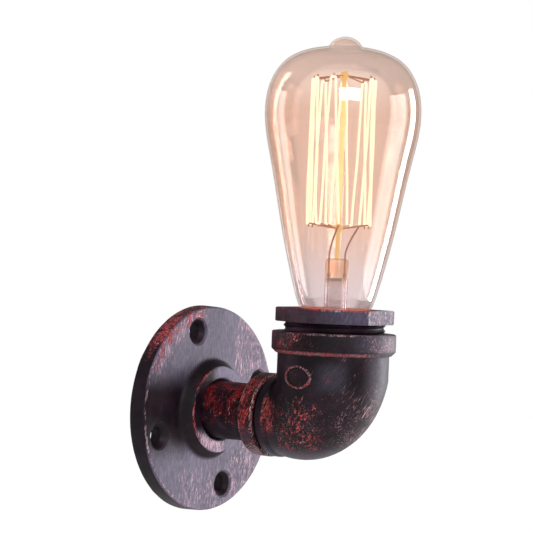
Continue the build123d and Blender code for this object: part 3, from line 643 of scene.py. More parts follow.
@dataclass(frozen=True)
class GlassFinish:
    """Thin clear glass whose tint goes from foot to crown between two heights in mm.

    Above dome_height in mm the tint goes on to dome. film is the share of a milky skin and edge_film
    what it gains, in the colour edge, where the glass is seen edge on. glow_height is the height in
    mm below which the foot shows a painted orange glow and, lowest, a painted red reflection of the hexagon's
    rim.
    """

    name: str
    foot: Colour
    crown: Colour
    foot_height: float
    crown_height: float
    dome: Colour = (0.988, 0.918, 0.882)
    dome_height: float = 122.0
    dome_rise: float = 22.0
    film: float = 0.03
    edge_film: float = 0.35
    milk: Colour = (0.86, 0.74, 0.70)
    edge: Colour = (0.60, 0.43, 0.36)
    glow_height: float = 0.0
    # painted glow at the glass's foot
    orange: Colour = (1.0, 0.50, 0.18)
    # painted reflection of the hexagon's red rim on the glass's foot
    rim_reflection_red: Colour = (0.62, 0.02, 0.03)

    def build(self) -> Material:
        """Make the material."""
        paint = Paint(self.name)
        cloud = paint.noise(26, 2)
        edge_on = Value(paint.tree, paint.node(
            "ShaderNodeLayerWeight", inputs={"Blend": 0.3}).outputs["Facing"])
        mirror = Value(paint.tree, paint.node("ShaderNodeFresnel", inputs={"IOR": 1.45}).outputs[0])
        foot, crown, dome = (
            paint.node("ShaderNodeBsdfTransparent", inputs={"Color": (*tint, 1.0)})
            for tint in (self.foot, self.crown, self.dome))
        upper = paint.blend(crown, dome, paint.z.rise(self.dome_height, self.dome_height + self.dome_rise))
        climb = paint.z.rise(self.foot_height, self.crown_height)
        clear = paint.blend(foot, upper, climb * (0.85 + 0.3 * cloud))
        gloss = paint.node("ShaderNodeBsdfGlossy", inputs={"Roughness": 0.05, "Color": (1, 0.98, 0.96, 1)})
        pane = paint.blend(clear, gloss, mirror.math("MINIMUM", mirror, 0.35))
        skin = paint.mix(self.milk, self.edge, edge_on.ramp(0.3, 0.8))
        # painted glow and reflection at the glass's foot, which gives light though the glass is no lamp
        glow = paint.z.rise(self.glow_height, self.glow_height - 1.4)
        painted_foot_light = paint.mix(self.orange, self.rim_reflection_red, paint.z.rise(46.0, 45.6))
        film = paint.principled(
            Base_Color=paint.mix(skin, painted_foot_light, glow),
            Roughness=0.35 + 0.1 * cloud,
            Emission_Color=paint.mix((0.0, 0.0, 0.0), painted_foot_light, glow),
            Emission_Strength=0.6,
        )
        amount = self.film * (0.5 + cloud) + edge_on ** 4 * self.edge_film | glow * 0.4
        return paint.show(paint.blend(pane, film, amount))


@dataclass(frozen=True)
class GlowFinish:
    """A wire that gives light, or a glass rod painted to glow with the filament's light, brightest at the
    middle of its height.
    """

    name: str
    colour: Colour
    strength: float
    low: float
    high: float

    def build(self) -> Material:
        """Make the material."""
        paint = Paint(self.name)
        half = (self.high - self.low) / 2
        fade = paint.z.near((self.low + self.high) / 2, half * 0.72, half * 1.02)
        flicker = paint.noise(1.6, 2, (1, 1, 2)).ramp(0.2, 0.8)
        dim = toned(self.colour, 0.55, 0.30, 0.12)
        glow = paint.mix(dim, self.colour, 0.25 + 0.75 * fade * (0.7 + 0.3 * flicker))
        return paint.show(paint.principled(
            Base_Color=(0.05, 0.03, 0.02, 1.0), Roughness=0.5,
            Emission_Color=glow, Emission_Strength=self.strength))


def rightward(paint: Paint) -> Value:
    """Distance in metres to a viewer's right of the bulb's axis."""
    return paint.x * TO_RIGHT[0] + (paint.y + REACH * MM) * TO_RIGHT[1]


def from_pipe(paint: Paint) -> Value:
    """Distance in metres from the pipe's axis."""
    return (paint.x ** 2 + paint.z ** 2) ** 0.5


# ---- The wall side
@dataclass
class WallSide:
    """Floor flange and pipe nipple. Sizes in mm."""

    flange_r: float = 44.0
    flange_t: float = 7.6
    draft: float = 0.35
    back_flat: float = 0.12
    boss_out: float = 13.3
    boss_root_r: float = 21.3
    boss_tip_r: float = 18.2
    bore_r: float = 12.25
    mouth_chamfer: float = 1.5
    screw_circle_r: float = 34.6
    screw_clock: float = -17.4
    screw_count: int = 4
    hole_r: float = 3.3
    sink_r: float = 5.9
    nipple_r: float = 12.2
    nipple_bore_r: float = 9.3
    nipple_start: float = 2.0
    nipple_end: float = 50.4
    thread_pitch: float = 1.6
    thread_out: float = 12.2

    def make_flange(self) -> Piece:
        """Cast flange with its boss and four countersunk holes."""
        face_r = self.flange_r - self.draft
        corners = [
            (self.bore_r, 0, 0.2),
            (self.flange_r, 0, 0.5),
            (face_r, self.flange_t, 1.2),
            (self.boss_root_r, self.flange_t, 2.4),
            (self.boss_tip_r, self.boss_out, 0.9),
            (self.bore_r + self.mouth_chamfer, self.boss_out, 0.25),
            (self.bore_r, self.boss_out - self.mouth_chamfer, 0.25),
        ]
        flange = turned("wall_flange_casting", corners, pipe_ring, sides=160, longest=2.2)
        cast_unevenness(flange, 0.16, 9)
        for vertex in flange.data.vertices:  # the unevenness leaves the back, which lies on the wall
            if vertex.co.y > -self.back_flat * MM:
                vertex.co.y = 0.0
        lip = 0.35    # width of the eased edge round the countersink
        behind = 1.0  # how far the cutter starts behind the flange's back
        sink_depth = self.sink_r - self.hole_r
        for index in range(self.screw_count):
            angle = math.radians(self.screw_clock + 360 * index / self.screw_count)
            cutter = solid_turned("countersink", [
                (0, -behind, 0),
                (self.hole_r, -behind, 0),
                (self.hole_r, self.flange_t - sink_depth, 0.2),
                (self.sink_r - lip * 0.4, self.flange_t - lip, 0.4),
                (self.sink_r + lip, self.flange_t + 0.12, 0),
                (self.sink_r + lip, self.flange_t + OVERRUN, 0),
                (0, self.flange_t + OVERRUN, 0),
            ], pipe_ring, sides=48)
            across = self.screw_circle_r * math.sin(angle)
            height = self.screw_circle_r * math.cos(angle)
            place(cutter, Vector((across, 0, height)) * MM)
            combine(flange, cutter, "DIFFERENCE")
        return smooth(flange)

    def make_nipple(self) -> Piece:
        """Short pipe with the end of its thread showing by the flange's boss."""
        pipe = turned("pipe_nipple_tube", [
            (self.nipple_bore_r, self.nipple_start, 0.3),
            (self.nipple_r, self.nipple_start, 0.7),
            (self.nipple_r, self.nipple_end, 0.7),
            (self.nipple_bore_r, self.nipple_end, 0.3),
        ], pipe_ring, longest=2.4)
        cast_unevenness(pipe, 0.05, 5)
        ridge = thread_ridge(self.nipple_r - 0.12, 0.16, self.thread_pitch, 3)
        place(ridge, Vector((0, -self.thread_out, 0)) * MM, (90, 0, 0))
        return smooth(join([pipe, ridge], "pipe_nipple_tube"))

    def flange_wear(self, p: Paint) -> Value:
        """Red on the rim and face at the upper left, and on the boss's left edge."""
        radius = from_pipe(p)
        upper_rim = rim_only(p) * radius.rise(42.5, 43) * p.z.rise(12, 34) * p.x.rise(6, -6) * 1.05
        upper_arc = radius.line(self.flange_r - 2.2, 3.4) * face_only(p) * p.z.rise(12, 26)
        boss_edge = radius.line(self.boss_tip_r, 0.8) * p.x.rise(0, -12) * 0.7
        return upper_rim | upper_arc * p.x.rise(-2, -12) * 1.1 | boss_edge

    def flange_pale(self, p: Paint) -> Value:
        """Pale rubbing on the face's foot and upper arcs and at the boss's foot, and a painted reflection on
        the face's right side.
        """
        radius = from_pipe(p)
        # painted reflection of a lamp down the face's right side
        right_reflection = p.x.rise(13, 17) * radius.rise(21, 24) * 0.75
        foot = p.z.rise(-18, -32) * p.x.rise(-34, -10) * 0.5
        broad_arc = radius.line(self.flange_r - 4.5, 4.6) * p.z.rise(8, 24) * p.x.rise(0, -12)
        edge_line = radius.line(self.flange_r - 1.2, 0.65) * p.x.rise(6, -10) * 0.9
        boss_foot = boss_front(p) * p.z.rise(-7, -12) * p.x.rise(7, -3) * 1.7
        return face_only(p) * (right_reflection | foot | broad_arc | edge_line | boss_foot)

    def flange_sheen(self, p: Paint) -> Value:
        """Painted blue-grey sheen of reflected light, partly the face's own lighter grey, on the face but for
        its left, where painted shade keeps it off, and painted light on the boss's front.
        """
        broad_patches = p.noise(22, 3, (1, 1, 1.5)).ramp(0.38, 0.58)
        # painted shade on the face left of the boss keeps the sheen off there
        shade_left = p.x.rise(-9, -19) * p.z.near(-2, 9, 22)
        face = face_only(p) * from_pipe(p).rise(20.5, 22.5) * (0.75 + 0.25 * broad_patches) * (1 - shade_left)
        # painted light on the boss's front ring, at its upper right, right and foot
        upper_right = p.x.rise(-8, 0) * p.z.rise(0, 6) * 1.7
        return face | boss_front(p) * (upper_right | p.x.rise(0, 6) * 1.3 | p.z.rise(-6, -12) * 1.1)

    def flange_shaded(self, p: Paint) -> Value:
        """Painted shade: black between boss and face, and on the rim but for its upper left."""
        radius = from_pipe(p)
        upper_rim = p.z.rise(14, 30) * p.x.rise(6, -6) * radius.rise(42.5, 43)
        return radius.rise(21.5, 20.5) * (1 - boss_front(p)) | rim_only(p) * (1 - upper_rim)

    def build(self) -> list[Piece]:
        """Make, dress and fasten both pieces."""
        flange = self.make_flange()
        dress(flange, BrushedCasting(
            "flange_brushed_iron", red_amount=0.1, pale_amount=0.2, sheen_amount=1.0, streak=(1, 1, 6),
            red=(0.55, 0.085, 0.095), sheen_tint=(0.115, 0.102, 0.150), pale=(0.56, 0.37, 0.45), slant=(4, 3, 0),
            roughness=0.45,
        ).build(self.flange_wear, self.flange_shaded, self.flange_pale, self.flange_sheen))
        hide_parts("wall_flange")
        nipple = self.make_nipple()
        dress(nipple, BrushedCasting(
            "nipple_brushed_steel", red_amount=0.2, pale_amount=0.1, sheen_amount=0.1, streak=(1, 1, 3),
            red=(0.30, 0.020, 0.022),
        # painted shade: the nipple's underside is left black
        ).build(wear=lambda p: p.z.rise(-10, 10) * 0.8 + 0.12, shaded=lambda p: p.z.rise(-4, -10)))
        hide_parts("pipe_nipple")
        for piece in (flange, nipple):
            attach(piece, "wall_base")
        return [flange, nipple]


def face_only(paint: Paint) -> Value:
    """Mask of the flange's face, off its rim."""
    return paint.y.rise(-6.6, -7.1)


def rim_only(paint: Paint) -> Value:
    """Mask of the flange's rim."""
    return paint.y.rise(-7.1, -6.6)


def boss_front(paint: Paint) -> Value:
    """Mask of the flat ring at the boss's front."""
    return paint.y.rise(-12.5, -13.0)


# ---- The fittings that turn
@dataclass
class TurningArm:
    """Reducing bush, elbow and hexagon bushing. Sizes in mm."""

    mouth_out: float = 44.0
    small_r: float = 16.06
    large_r: float = 22.9
    crotch_r: float = 0.9
    growth: float = 1.2
    heel: float = 0.9
    bead_r: float = 17.16
    bead_w: float = 3.6
    band_r: float = 25.5
    band_base_z: float = 27.3
    band_top_z: float = 36.2
    band_chamfer: float = 1.7
    seat_z: float = 16.0
    chamber_r: float = 18.3
    seat_width: float = 2.2
    bushing_thread_r: float = 20.95
    bushing_end_z: float = 27.3
    bush_bore_r: float = 12.26
    bush_head_r: float = 17.45
    bush_head_out: float = 35.7
    bush_face_out: float = 42.3
    bush_spigot_r: float = 14.16
    bush_end_out: float = 51.9
    pad_r: float = 5.3
    pad_rim: float = 0.9
    pad_proud: float = 0.5
    pad_z: float = 18.2
    pad_clock: float = 177.0
    pad_squash: float = 0.88
    pad_stretch: float = 1.28
    hex_af: float = 42.2
    hex_base_z: float = 40.0
    hex_top_z: float = 45.8
    hex_clock: float = 8.6
    hex_bore_r: float = 15.8
    hex_shoulder_z: float = 41.0
    pipe_pitch: float = 1.81
    bushing_pitch: float = 2.31
    bend_steps: int = 26
    slant: Axes = (25, 19, 0)

    def bend_ring(self, share: float, radius: float) -> Ring:
        """Ring across the bend: share 0 square to the pipe, 1 square to the bulb's axis."""
        lean = 90 * share
        reach = self.body_r(share) + self.crotch_r
        pivot_out = REACH - self.large_r - self.crotch_r
        pivot_z = self.small_r + self.crotch_r
        turn = math.radians(lean)
        centre = Vector((0, -pivot_out - reach * math.sin(turn), pivot_z - reach * math.cos(turn)))
        return Ring(centre * MM, radius * MM, lean)

    def body_r(self, share: float) -> float:
        """Outer radius of the bend at a share of its turn."""
        swell = (self.large_r - self.small_r) * share ** self.growth
        return self.small_r + swell + self.heel * math.sin(math.pi * share)

    def shares(self) -> list[float]:
        """Shares of the bend's turn at which its rings stand."""
        return [step / self.bend_steps for step in range(self.bend_steps + 1)]

    def skin(self, proud: float = 0.0) -> list[Ring]:
        """Rings of the bend's outside, standing proud of it by a depth."""
        return [self.bend_ring(share, self.body_r(share) + proud) for share in self.shares()]

    def hollow(self, start_r: float, end_r: float) -> list[Ring]:
        """Rings of the bend's inside, whose radius grows from start_r to end_r."""
        return [self.bend_ring(share, start_r + (end_r - start_r) * share ** self.growth)
                for share in self.shares()]

    def make_elbow(self) -> Piece:
        """Elbow casting: skin outside from mouth to band, then back down inside."""
        mouth_out = self.mouth_out + 0.3
        thread_r = self.bushing_thread_r + 0.05
        thread_end_z = self.bushing_end_z - 0.6
        seat_r = self.chamber_r - self.seat_width
        band_profile = rounded([
            (self.large_r, self.band_base_z - 2.5, 0),
            (self.large_r, self.band_base_z, 0.5),
            (self.band_r - self.band_chamfer, self.band_base_z, 0.5),
            (self.band_r, self.band_base_z + self.band_chamfer, 0.6),
            (self.band_r, self.band_top_z, 0.8),
            (thread_r, self.band_top_z, 0.4),
            (thread_r, thread_end_z, 0),
            (self.chamber_r, thread_end_z, 0),
            (self.chamber_r, self.seat_z, 0),
            (seat_r, self.seat_z, 0),
        ])
        above_bend_z = self.small_r + self.crotch_r
        band_rings = [bulb_ring(r, z) for r, z in filled_in(band_profile, 3.0)
                      if z > above_bend_z or r < self.large_r - 3]
        rings = [pipe_ring(self.bush_spigot_r, mouth_out), pipe_ring(self.small_r, mouth_out)]
        rings += self.skin() + self.trim_after_seat(band_rings)
        rings += reversed(self.hollow(self.bush_spigot_r, seat_r))
        elbow = ring_body("elbow_casting", rings, sides=FITTING_SIDES)
        cast_unevenness(elbow, 0.14, 7)
        combine(elbow, self.make_bead(), "UNION")
        combine(elbow, self.make_pad(), "UNION")
        return smooth(elbow)

    def make_bead(self) -> Piece:
        """Round bead of the small mouth, easing down into the elbow's neck."""
        end = self.mouth_out + self.bead_w
        buried_r = self.small_r - 0.5
        return turned("mouth_bead", [
            (self.bush_spigot_r, self.mouth_out, 0.3),
            (self.bead_r, self.mouth_out, 1.1),
            (self.bead_r, end, 1.4),
            (self.small_r + 0.35, end + 0.5, 0.7),
            (buried_r, end + 2.6, 0),
            (buried_r, self.mouth_out + 1.0, 0),
            (self.bush_spigot_r, self.mouth_out + 1.0, 0),
        ], pipe_ring, sides=FITTING_SIDES)

    def trim_after_seat(self, rings: Sequence[Ring]) -> list[Ring]:
        """Rings up to the seat's inner edge, without the closing run back to the start."""
        kept: list[Ring] = []
        for ring in rings:
            kept.append(ring)
            if ring.radius < (self.chamber_r - self.seat_width + 0.01) * MM:
                break
        return kept

    def make_pad(self) -> Piece:
        """Plain raised ring cast on the elbow's side, following its surface."""
        depth = 3.0  # reaches from inside the elbow's wall to well outside it
        inner_r = self.pad_r - self.pad_rim
        ring = turned("foundry_pad", [
            (inner_r, -depth, 0), (self.pad_r, -depth, 0), (self.pad_r, depth, 0), (inner_r, depth, 0),
        ], own_ring, sides=56)
        clock = math.radians(self.pad_clock)
        centre = Vector((self.large_r * math.cos(clock), -REACH + self.large_r * math.sin(clock), self.pad_z))
        ring.scale = (self.pad_squash, self.pad_stretch, 1)
        place(ring, centre * MM, (0, 90, self.pad_clock))
        proud = self.pad_proud
        skin_rings = self.skin(proud) + [bulb_ring(self.large_r + proud, self.band_base_z)]
        skin = ring_body("foundry_skin", skin_rings, sides=FITTING_SIDES, ends=Ends.POLES)
        combine(ring, skin, "INTERSECT")
        ease_edges(ring, 0.16, 2, 50)
        return ring

    def make_bush(self) -> Piece:
        """Round-headed reducing bush with its thread in the gap before the elbow."""
        root = 0.55  # depth of the thread
        core_r = self.bush_spigot_r - root
        bush = turned("reducer_bush_turned", [
            (self.bush_bore_r, self.bush_head_out, 0.2),
            (self.bush_head_r, self.bush_head_out, 0.6),
            (self.bush_head_r, self.bush_face_out, 0.45),
            (core_r, self.bush_face_out, 0.2),
            (core_r, self.bush_end_out, 0.4),
            (self.bush_bore_r, self.bush_end_out, 0.2),
        ], pipe_ring, longest=2.0)
        cast_unevenness(bush, 0.07, 4)
        ridge = thread_ridge(core_r - 0.1, root + 0.08, self.pipe_pitch, 5)
        place(ridge, Vector((0, -self.bush_face_out + 0.6, 0)) * MM, (90, 0, 0))
        return smooth(join([bush, ridge], "reducer_bush_turned"))

    def make_hex(self) -> Piece:
        """Hexagon head, its thread and the bore that shows the bulb's foot."""
        corner_r = self.hex_af / 2 / math.cos(math.pi / 6)
        height = self.hex_top_z - self.hex_base_z
        over_z = self.hex_top_z + OVERRUN
        under_z = self.hex_base_z - OVERRUN
        deselect()
        bpy.ops.mesh.primitive_cylinder_add(
            vertices=6, radius=corner_r * MM, depth=height * MM,
            location=(0, -REACH * MM, (self.hex_base_z + height / 2) * MM),
            rotation=(0, 0, math.radians(self.hex_clock + 30)))
        head = bpy.context.object
        head.name = "hex_bushing_head"
        bake()
        chamfer = turned("hex_chamfer", [
            (corner_r - 1.4, under_z, 0),
            (corner_r - 0.5, self.hex_base_z, 0),
            (corner_r + 0.4, self.hex_base_z + 0.6, 0),
            (corner_r + 0.4, self.hex_top_z - 0.6, 0),
            (corner_r - 0.5, self.hex_top_z, 0),
            (corner_r - 1.4, over_z, 0),
            (POLE, over_z, 0),
            (POLE, under_z, 0),
        ], bulb_ring, sides=128)
        combine(head, chamfer, "INTERSECT")
        root = 0.8  # depth of the thread
        core_r = self.bushing_thread_r - root
        core = turned("hex_bushing_core", [
            (self.chamber_r, self.bushing_end_z, 0.2),
            (core_r, self.bushing_end_z, 0.4),
            (core_r, self.hex_base_z + 0.5, 0),
            (self.chamber_r, self.hex_base_z + 0.5, 0),
        ], bulb_ring, sides=FITTING_SIDES)
        combine(head, core, "UNION")
        bore = solid_turned("hex_bore", [
            (0, self.bushing_end_z - 1, 0),
            (self.chamber_r, self.bushing_end_z - 1, 0),
            (self.chamber_r, self.hex_shoulder_z, 0.2),
            (self.hex_bore_r, self.hex_shoulder_z, 0.3),
            (self.hex_bore_r, self.hex_top_z - 0.7, 0.3),
            (self.hex_bore_r + 0.7, self.hex_top_z + 0.01, 0),
            (self.hex_bore_r + 0.9, over_z, 0),
            (0, over_z, 0),
        ], bulb_ring, sides=FITTING_SIDES)
        combine(head, bore, "DIFFERENCE")
        ease_edges(head, 0.45, 3, 38)
        ridge = thread_ridge(core_r - 0.1, root + 0.08, self.bushing_pitch, 5)
        place(ridge, Vector((0, -REACH, self.bushing_end_z + 1.2)) * MM)
        return smooth(join([head, ridge], "hex_bushing_casting"))

    def pad_ring(self, p: Paint) -> Value:
        """Mask of the raised ring on the elbow's side."""
        clock = math.radians(self.pad_clock)
        along = (p.y + REACH * MM) * math.cos(clock) - p.x * math.sin(clock)
        across = p.z - self.pad_z * MM
        spread = ((along * (1 / self.pad_stretch)) ** 2 + (across * (1 / self.pad_squash)) ** 2) ** 0.5
        return spread.line(self.pad_r - self.pad_rim / 2, 0.75) * p.x.rise(-12, -18)

    def elbow_wear(self, p: Paint) -> Value:
        """Red on the band's lower edge and left side, the neck and the middle of the bend."""
        right = rightward(p)
        edge = p.z.line(self.band_base_z + 0.6, 1.2) * right.rise(24, 10) * 1.2
        band = on_band(p) * right.rise(-2, -18) * 0.45
        neck = right.near(-28, 2, 7) * p.z.near(1, 3, 11) * 1.1
        brushing = p.noise(1.5, 3, (1, 1, 5), self.slant).ramp(0.42, 0.62)
        bend = right.near(-12.5, 4, 13) * p.z.near(-3, 6, 18) * brushing * 1.15
        return edge | band | neck | bend | self.pad_ring(p) * 0.8

    def elbow_pale(self, p: Paint) -> Value:
        """Pale rubbing on the band's edges and lightly down the bend, and a painted reflection on the band's
        right side.
        """
        right = rightward(p)
        # painted reflection of a lamp on the band's right side
        band = on_band(p) * right.rise(6, 21) * 0.8
        bend = p.z.rise(22, 4) * p.z.rise(-20, -8) * right.rise(-12, 14) * 0.5
        middle = right.near(-14.5, 5, 15) * p.z.near(-3, 5, 15) * 0.25
        top_edge = p.z.line(self.band_top_z, 1.2) * right.near(0, 8, 18) * 1.2
        lower_edge = p.z.line(self.band_base_z + 0.6, 1.0) * right.rise(24, 10)
        return band | bend | middle | top_edge | lower_edge | self.pad_ring(p)

    def elbow_sheen(self, p: Paint) -> Value:
        """Painted blue-grey sheen of reflected light on the right of band and bend, beside the raised ring
        and along the under side.
        """
        right = rightward(p)
        band = on_band(p) * right.rise(2, 20) * 1.2
        bend = p.z.rise(0, 20) * right.rise(10, 20) * 0.8
        patch = right.near(-1, 2, 9) * p.z.near(18.5, 2, 8) * 0.45
        # along the under side the painted sheen stands for the floor's reflection
        return band | bend | patch | p.z.rise(-10, -15.5) * 0.8

    def bush_rubbed(self, p: Paint) -> Value:
        """Pale on the edges of the bush's head and along its foot."""
        outer = from_pipe(p).rise(15.5, 16.5)
        face_edge = p.y.line(-self.bush_face_out, 0.8) * outer * p.z.rise(-14, 0) * 1.1
        return face_edge | p.y.rise(-37.2, -36.2) * outer * 0.7 | p.z.rise(-8, -14) * 0.9

    def hex_wear(self, p: Paint) -> Value:
        """Red on the hexagon's top, and faintly on its left face."""
        right = rightward(p)
        left_face = above_thread(p) * right.rise(-12, -18) * 0.3
        return p.z.rise(45.2, 45.5) * right.near(0, 14, 18) * 2.4 | left_face

    def hex_pale(self, p: Paint) -> Value:
        """Pale rubbing along the hexagon's top edge, and a painted reflection on its right face."""
        right = rightward(p)
        top_edge = p.z.line(self.hex_top_z, 1.1) * right.near(3, 6, 12)
        # painted reflection of a lamp on the right face
        return above_thread(p) * (right.rise(10, 14) * 0.9 | top_edge)

    def build(self) -> list[Piece]:
        """Make, dress and fasten the three pieces."""
        elbow = self.make_elbow()
        dress(elbow, BrushedCasting(
            "elbow_brushed_iron", red_amount=0.25, pale_amount=0.2, sheen_amount=1.0, slant=self.slant,
            red=(0.44, 0.075, 0.072), pale=(0.46, 0.27, 0.30), sheen_tint=(0.055, 0.050, 0.072), streak=(1, 1, 9),
        ).build(
            # painted shade: the mouth beside the gap is left black, less so at its top
            self.elbow_wear, lambda p: p.y.rise(-48, -47) * (1 - p.z.rise(13, 16) * 0.4),
            self.elbow_pale, self.elbow_sheen,
        ))
        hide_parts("elbow")
        bush = self.make_bush()
        dress(bush, BrushedCasting(
            "bush_brushed_steel", red_amount=0.5, pale_amount=0.2, sheen_amount=0.1, streak=(1, 1, 3),
            red=(0.46, 0.055, 0.050), pale=(0.66, 0.36, 0.38), scrapes=0.3,
        ).build(
            wear=lambda p: p.z.rise(-16, 4) * 0.65 + 0.25,
            # painted shade: the thread in the gap is left black
            shaded=lambda p: from_pipe(p).rise(16, 15),
            pale_where=self.bush_rubbed,
        ))
        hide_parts("reducer_bush")
        hexagon = self.make_hex()
        dress(hexagon, BrushedCasting(
            "hex_brushed_iron", red_amount=0.1, pale_amount=0.12, sheen_amount=1.0, pale=(0.46, 0.34, 0.42),
            sheen_tint=(0.050, 0.045, 0.070), plum=(0.040, 0.016, 0.030),
        ).build(
            # painted shade: the thread below the hexagon, inside the elbow, is left black
            self.hex_wear, lambda p: 1 - above_thread(p), self.hex_pale,
            # painted sheen of reflected light, growing towards the right
            lambda p: rightward(p).rise(-14, 6) * above_thread(p),
        ))
        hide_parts("hex_bushing")
        for piece in (elbow, bush, hexagon):
            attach(piece, "arm")
        return [elbow, bush, hexagon]


def on_band(paint: Paint) -> Value:
    """Mask of the elbow's band, above the bend."""
    return paint.z.rise(28.5, 30)


def above_thread(paint: Paint) -> Value:
    """Mask of the hexagon, off the thread below it."""
    return paint.z.rise(39.8, 40.2)


# ---- The bulb
@dataclass
class FilamentBulb:
    """Glass, cap, stem and the glowing cage. Sizes in mm, heights above the pipe's axis."""

    widest_r: float = 31.99
    widest_z: float = 127.0
    tip_z: float = 157.2
    pip_r: float = 7.5
    pip_root_z: float = 152.9
    neck_r: float = 12.4
    neck_base_z: float = 36.0
    cap_top_z: float = 43.4
    wall: float = 0.9
    cap_r: float = 13.2
    cap_base_z: float = 22.9
    skirt_z: float = 40.2
    skirt_r: float = 13.6
    cap_wall: float = 0.3
    thread_pitch: float = 3.62
    stem_r: float = 4.75
    press_t: float = 4.4
    press_z: float = 57.0
    stem_top_z: float = 66.4
    press_clock: float = -52.7
    rod_r: float = 1.0
    bead_r: float = 2.0
    cage_r: float = 13.0
    cage_top_z: float = 139.6
    cage_base_z: float = 80.3
    bead_rise: float = 1.6
    hooks: int = 8
    pitch_angle: float = 40.0
    start_angle: float = -52.0
    filament_d: float = 1.0
    hook_turn: float = 2.0
    support_d: float = 0.6
    lead_in_d: float = 0.8

    def outline(self, inset: float) -> Outline:
        """Glass outline from neck base to the tip, moved in by a depth.

        Args:
            inset: depth in mm towards the inside.

        Returns:
            (radius, height) points.
        """
        knots = [
            (self.neck_r, self.neck_base_z),
            (self.neck_r, self.cap_top_z - 2.4),
            (self.neck_r + 0.55, self.cap_top_z - 0.6),
            (self.widest_r * 0.515, 50.7),
            (self.widest_r * 0.697, 73.6),
            (self.widest_r * 0.862, 99.8),
            (self.widest_r * 0.975, 117.0),
            (self.widest_r, self.widest_z),
            (self.widest_r * 0.965, 135.6),
            (self.widest_r * 0.872, 142.4),
            (self.widest_r * 0.74, 147.3),
            (self.widest_r * 0.56, 150.5),
            (self.widest_r * 0.38, 152.1),
            (self.pip_r, self.pip_root_z),
            (5.6, 155.0),
            (3.1, 156.6),
            (POLE, self.tip_z),
        ]
        steps = 5
        points = [Vector(knot) for knot in knots]
        before_foot = points[0] * 2 - points[1]
        past_tip = Vector((-points[-2].x, points[-2].y))
        padded = [before_foot, *points, past_tip]
        line: list[Vector] = []
        for before, start, end, after in zip(padded, padded[1:], padded[2:], padded[3:]):
            pull_in = (end - before) / 2
            pull_out = (after - start) / 2
            for step in range(steps):
                t = step / steps
                line.append(start * (2 * t ** 3 - 3 * t ** 2 + 1) + pull_in * (t ** 3 - 2 * t ** 2 + t)
                            + end * (3 * t ** 2 - 2 * t ** 3) + pull_out * (t ** 3 - t ** 2))
        line.append(points[-1])
        moved: Outline = []
        for index, point in enumerate(line):
            way = line[min(index + 1, len(line) - 1)] - line[max(index - 1, 0)]
            side = Vector((-way.y, way.x)).normalized()
            moved.append((max(point.x + side.x * inset, POLE), point.y + side.y * inset))
        return moved

    def make_glass(self) -> Piece:
        """Blown envelope with an inner and an outer skin."""
        outer = list(reversed(self.outline(0.0)))
        inner = [(r, z) for r, z in self.outline(self.wall) if z >= self.neck_base_z]
        rings = [bulb_ring(r, z) for r, z in outer + inner]
        return smooth(ring_body("bulb_glass", rings, sides=128, ends=Ends.POLES), 60)

    def make_cap(self) -> Piece:
        """Brass screw cap with a rolled thread."""
        depth = 0.75  # of the thread
        core_r = self.cap_r - depth
        wall = self.cap_wall
        cap = turned("bulb_cap_shell", [
            (core_r - 1.2, self.cap_base_z, 0.1),
            (core_r - 0.2, self.cap_base_z, 0.3),
            (core_r, self.cap_base_z + 1.0, 0.3),
            (core_r, self.skirt_z - 0.4, 0.4),
            (self.skirt_r, self.skirt_z + 0.8, 0.4),
            (self.skirt_r, self.cap_top_z, 0.1),
            (self.skirt_r - wall, self.cap_top_z, 0.1),
            (self.skirt_r - wall, self.skirt_z + 0.9, 0.1),
            (core_r - wall, self.skirt_z, 0.1),
            (core_r - wall, self.cap_base_z + 1.2, 0.1),
            (core_r - 0.5, self.cap_base_z + wall, 0.05),
            (core_r - 1.2, self.cap_base_z + wall, 0.05),
        ], bulb_ring, sides=96)
        ridge = thread_ridge(core_r - 0.05, depth, self.thread_pitch, 4, sides=10)
        place(ridge, Vector((0, -REACH, self.cap_base_z + 1.9)) * MM)
        return smooth(join([cap, ridge], "bulb_cap_shell"), 50)

    def make_stem(self) -> Piece:
        """Flared foot and the flat press that holds the lead-in wires."""
        foot = self.neck_base_z + 0.2
        flare_r = self.neck_r - self.wall - 0.02
        tube = turned("stem_tube", [
            (flare_r - 1.0, foot, 0.2),
            (flare_r, foot, 0.3),
            (flare_r, foot + 1.0, 0.3),
            (self.stem_r, foot + 7.5, 4.0),
            (self.stem_r, self.press_z + 1.4, 0.4),
            (self.stem_r - 1.1, self.press_z + 1.4, 0.4),
            (self.stem_r - 1.1, foot + 7.0, 3.5),
        ], bulb_ring, sides=64)
        deselect()
        height = self.stem_top_z - self.press_z
        bpy.ops.mesh.primitive_cube_add(size=1.0, location=(0, 0, 0))
        press = bpy.context.object
        press.scale = (2 * self.stem_r * MM, self.press_t * MM, height * MM)
        bake()
        ease_edges(press, 1.5, 5)
        place(press, Vector((0, -REACH, self.press_z + height / 2)) * MM, (0, 0, self.press_clock))
        return smooth(join([tube, press], "bulb_stem"), 50)

    def make_rod(self) -> Piece:
        """Glass rod on the press with a melted bead for each spider of hooks."""
        top_bead = self.cage_top_z + self.bead_rise
        base_bead = self.cage_base_z - self.bead_rise
        squash = 0.94
        corners: list[Corner] = [(POLE, self.stem_top_z, 0), (self.rod_r, self.stem_top_z, 0)]
        for centre in (base_bead, top_bead):
            for angle in range(-60, 61, 20):
                turn = math.radians(angle)
                across = self.bead_r * math.cos(turn) * squash
                corners.append((across, centre + self.bead_r * math.sin(turn), 0))
        corners.append((POLE, top_bead + self.bead_r, 0))
        return smooth(solid_turned("mount_rod", corners, bulb_ring, sides=32), 60)

    def lower_angle(self, count: float) -> float:
        """Angle of a place on the cage's lower ring; 0 and the last are the lead ends."""
        return self.press_clock + self.start_angle + self.pitch_angle * count

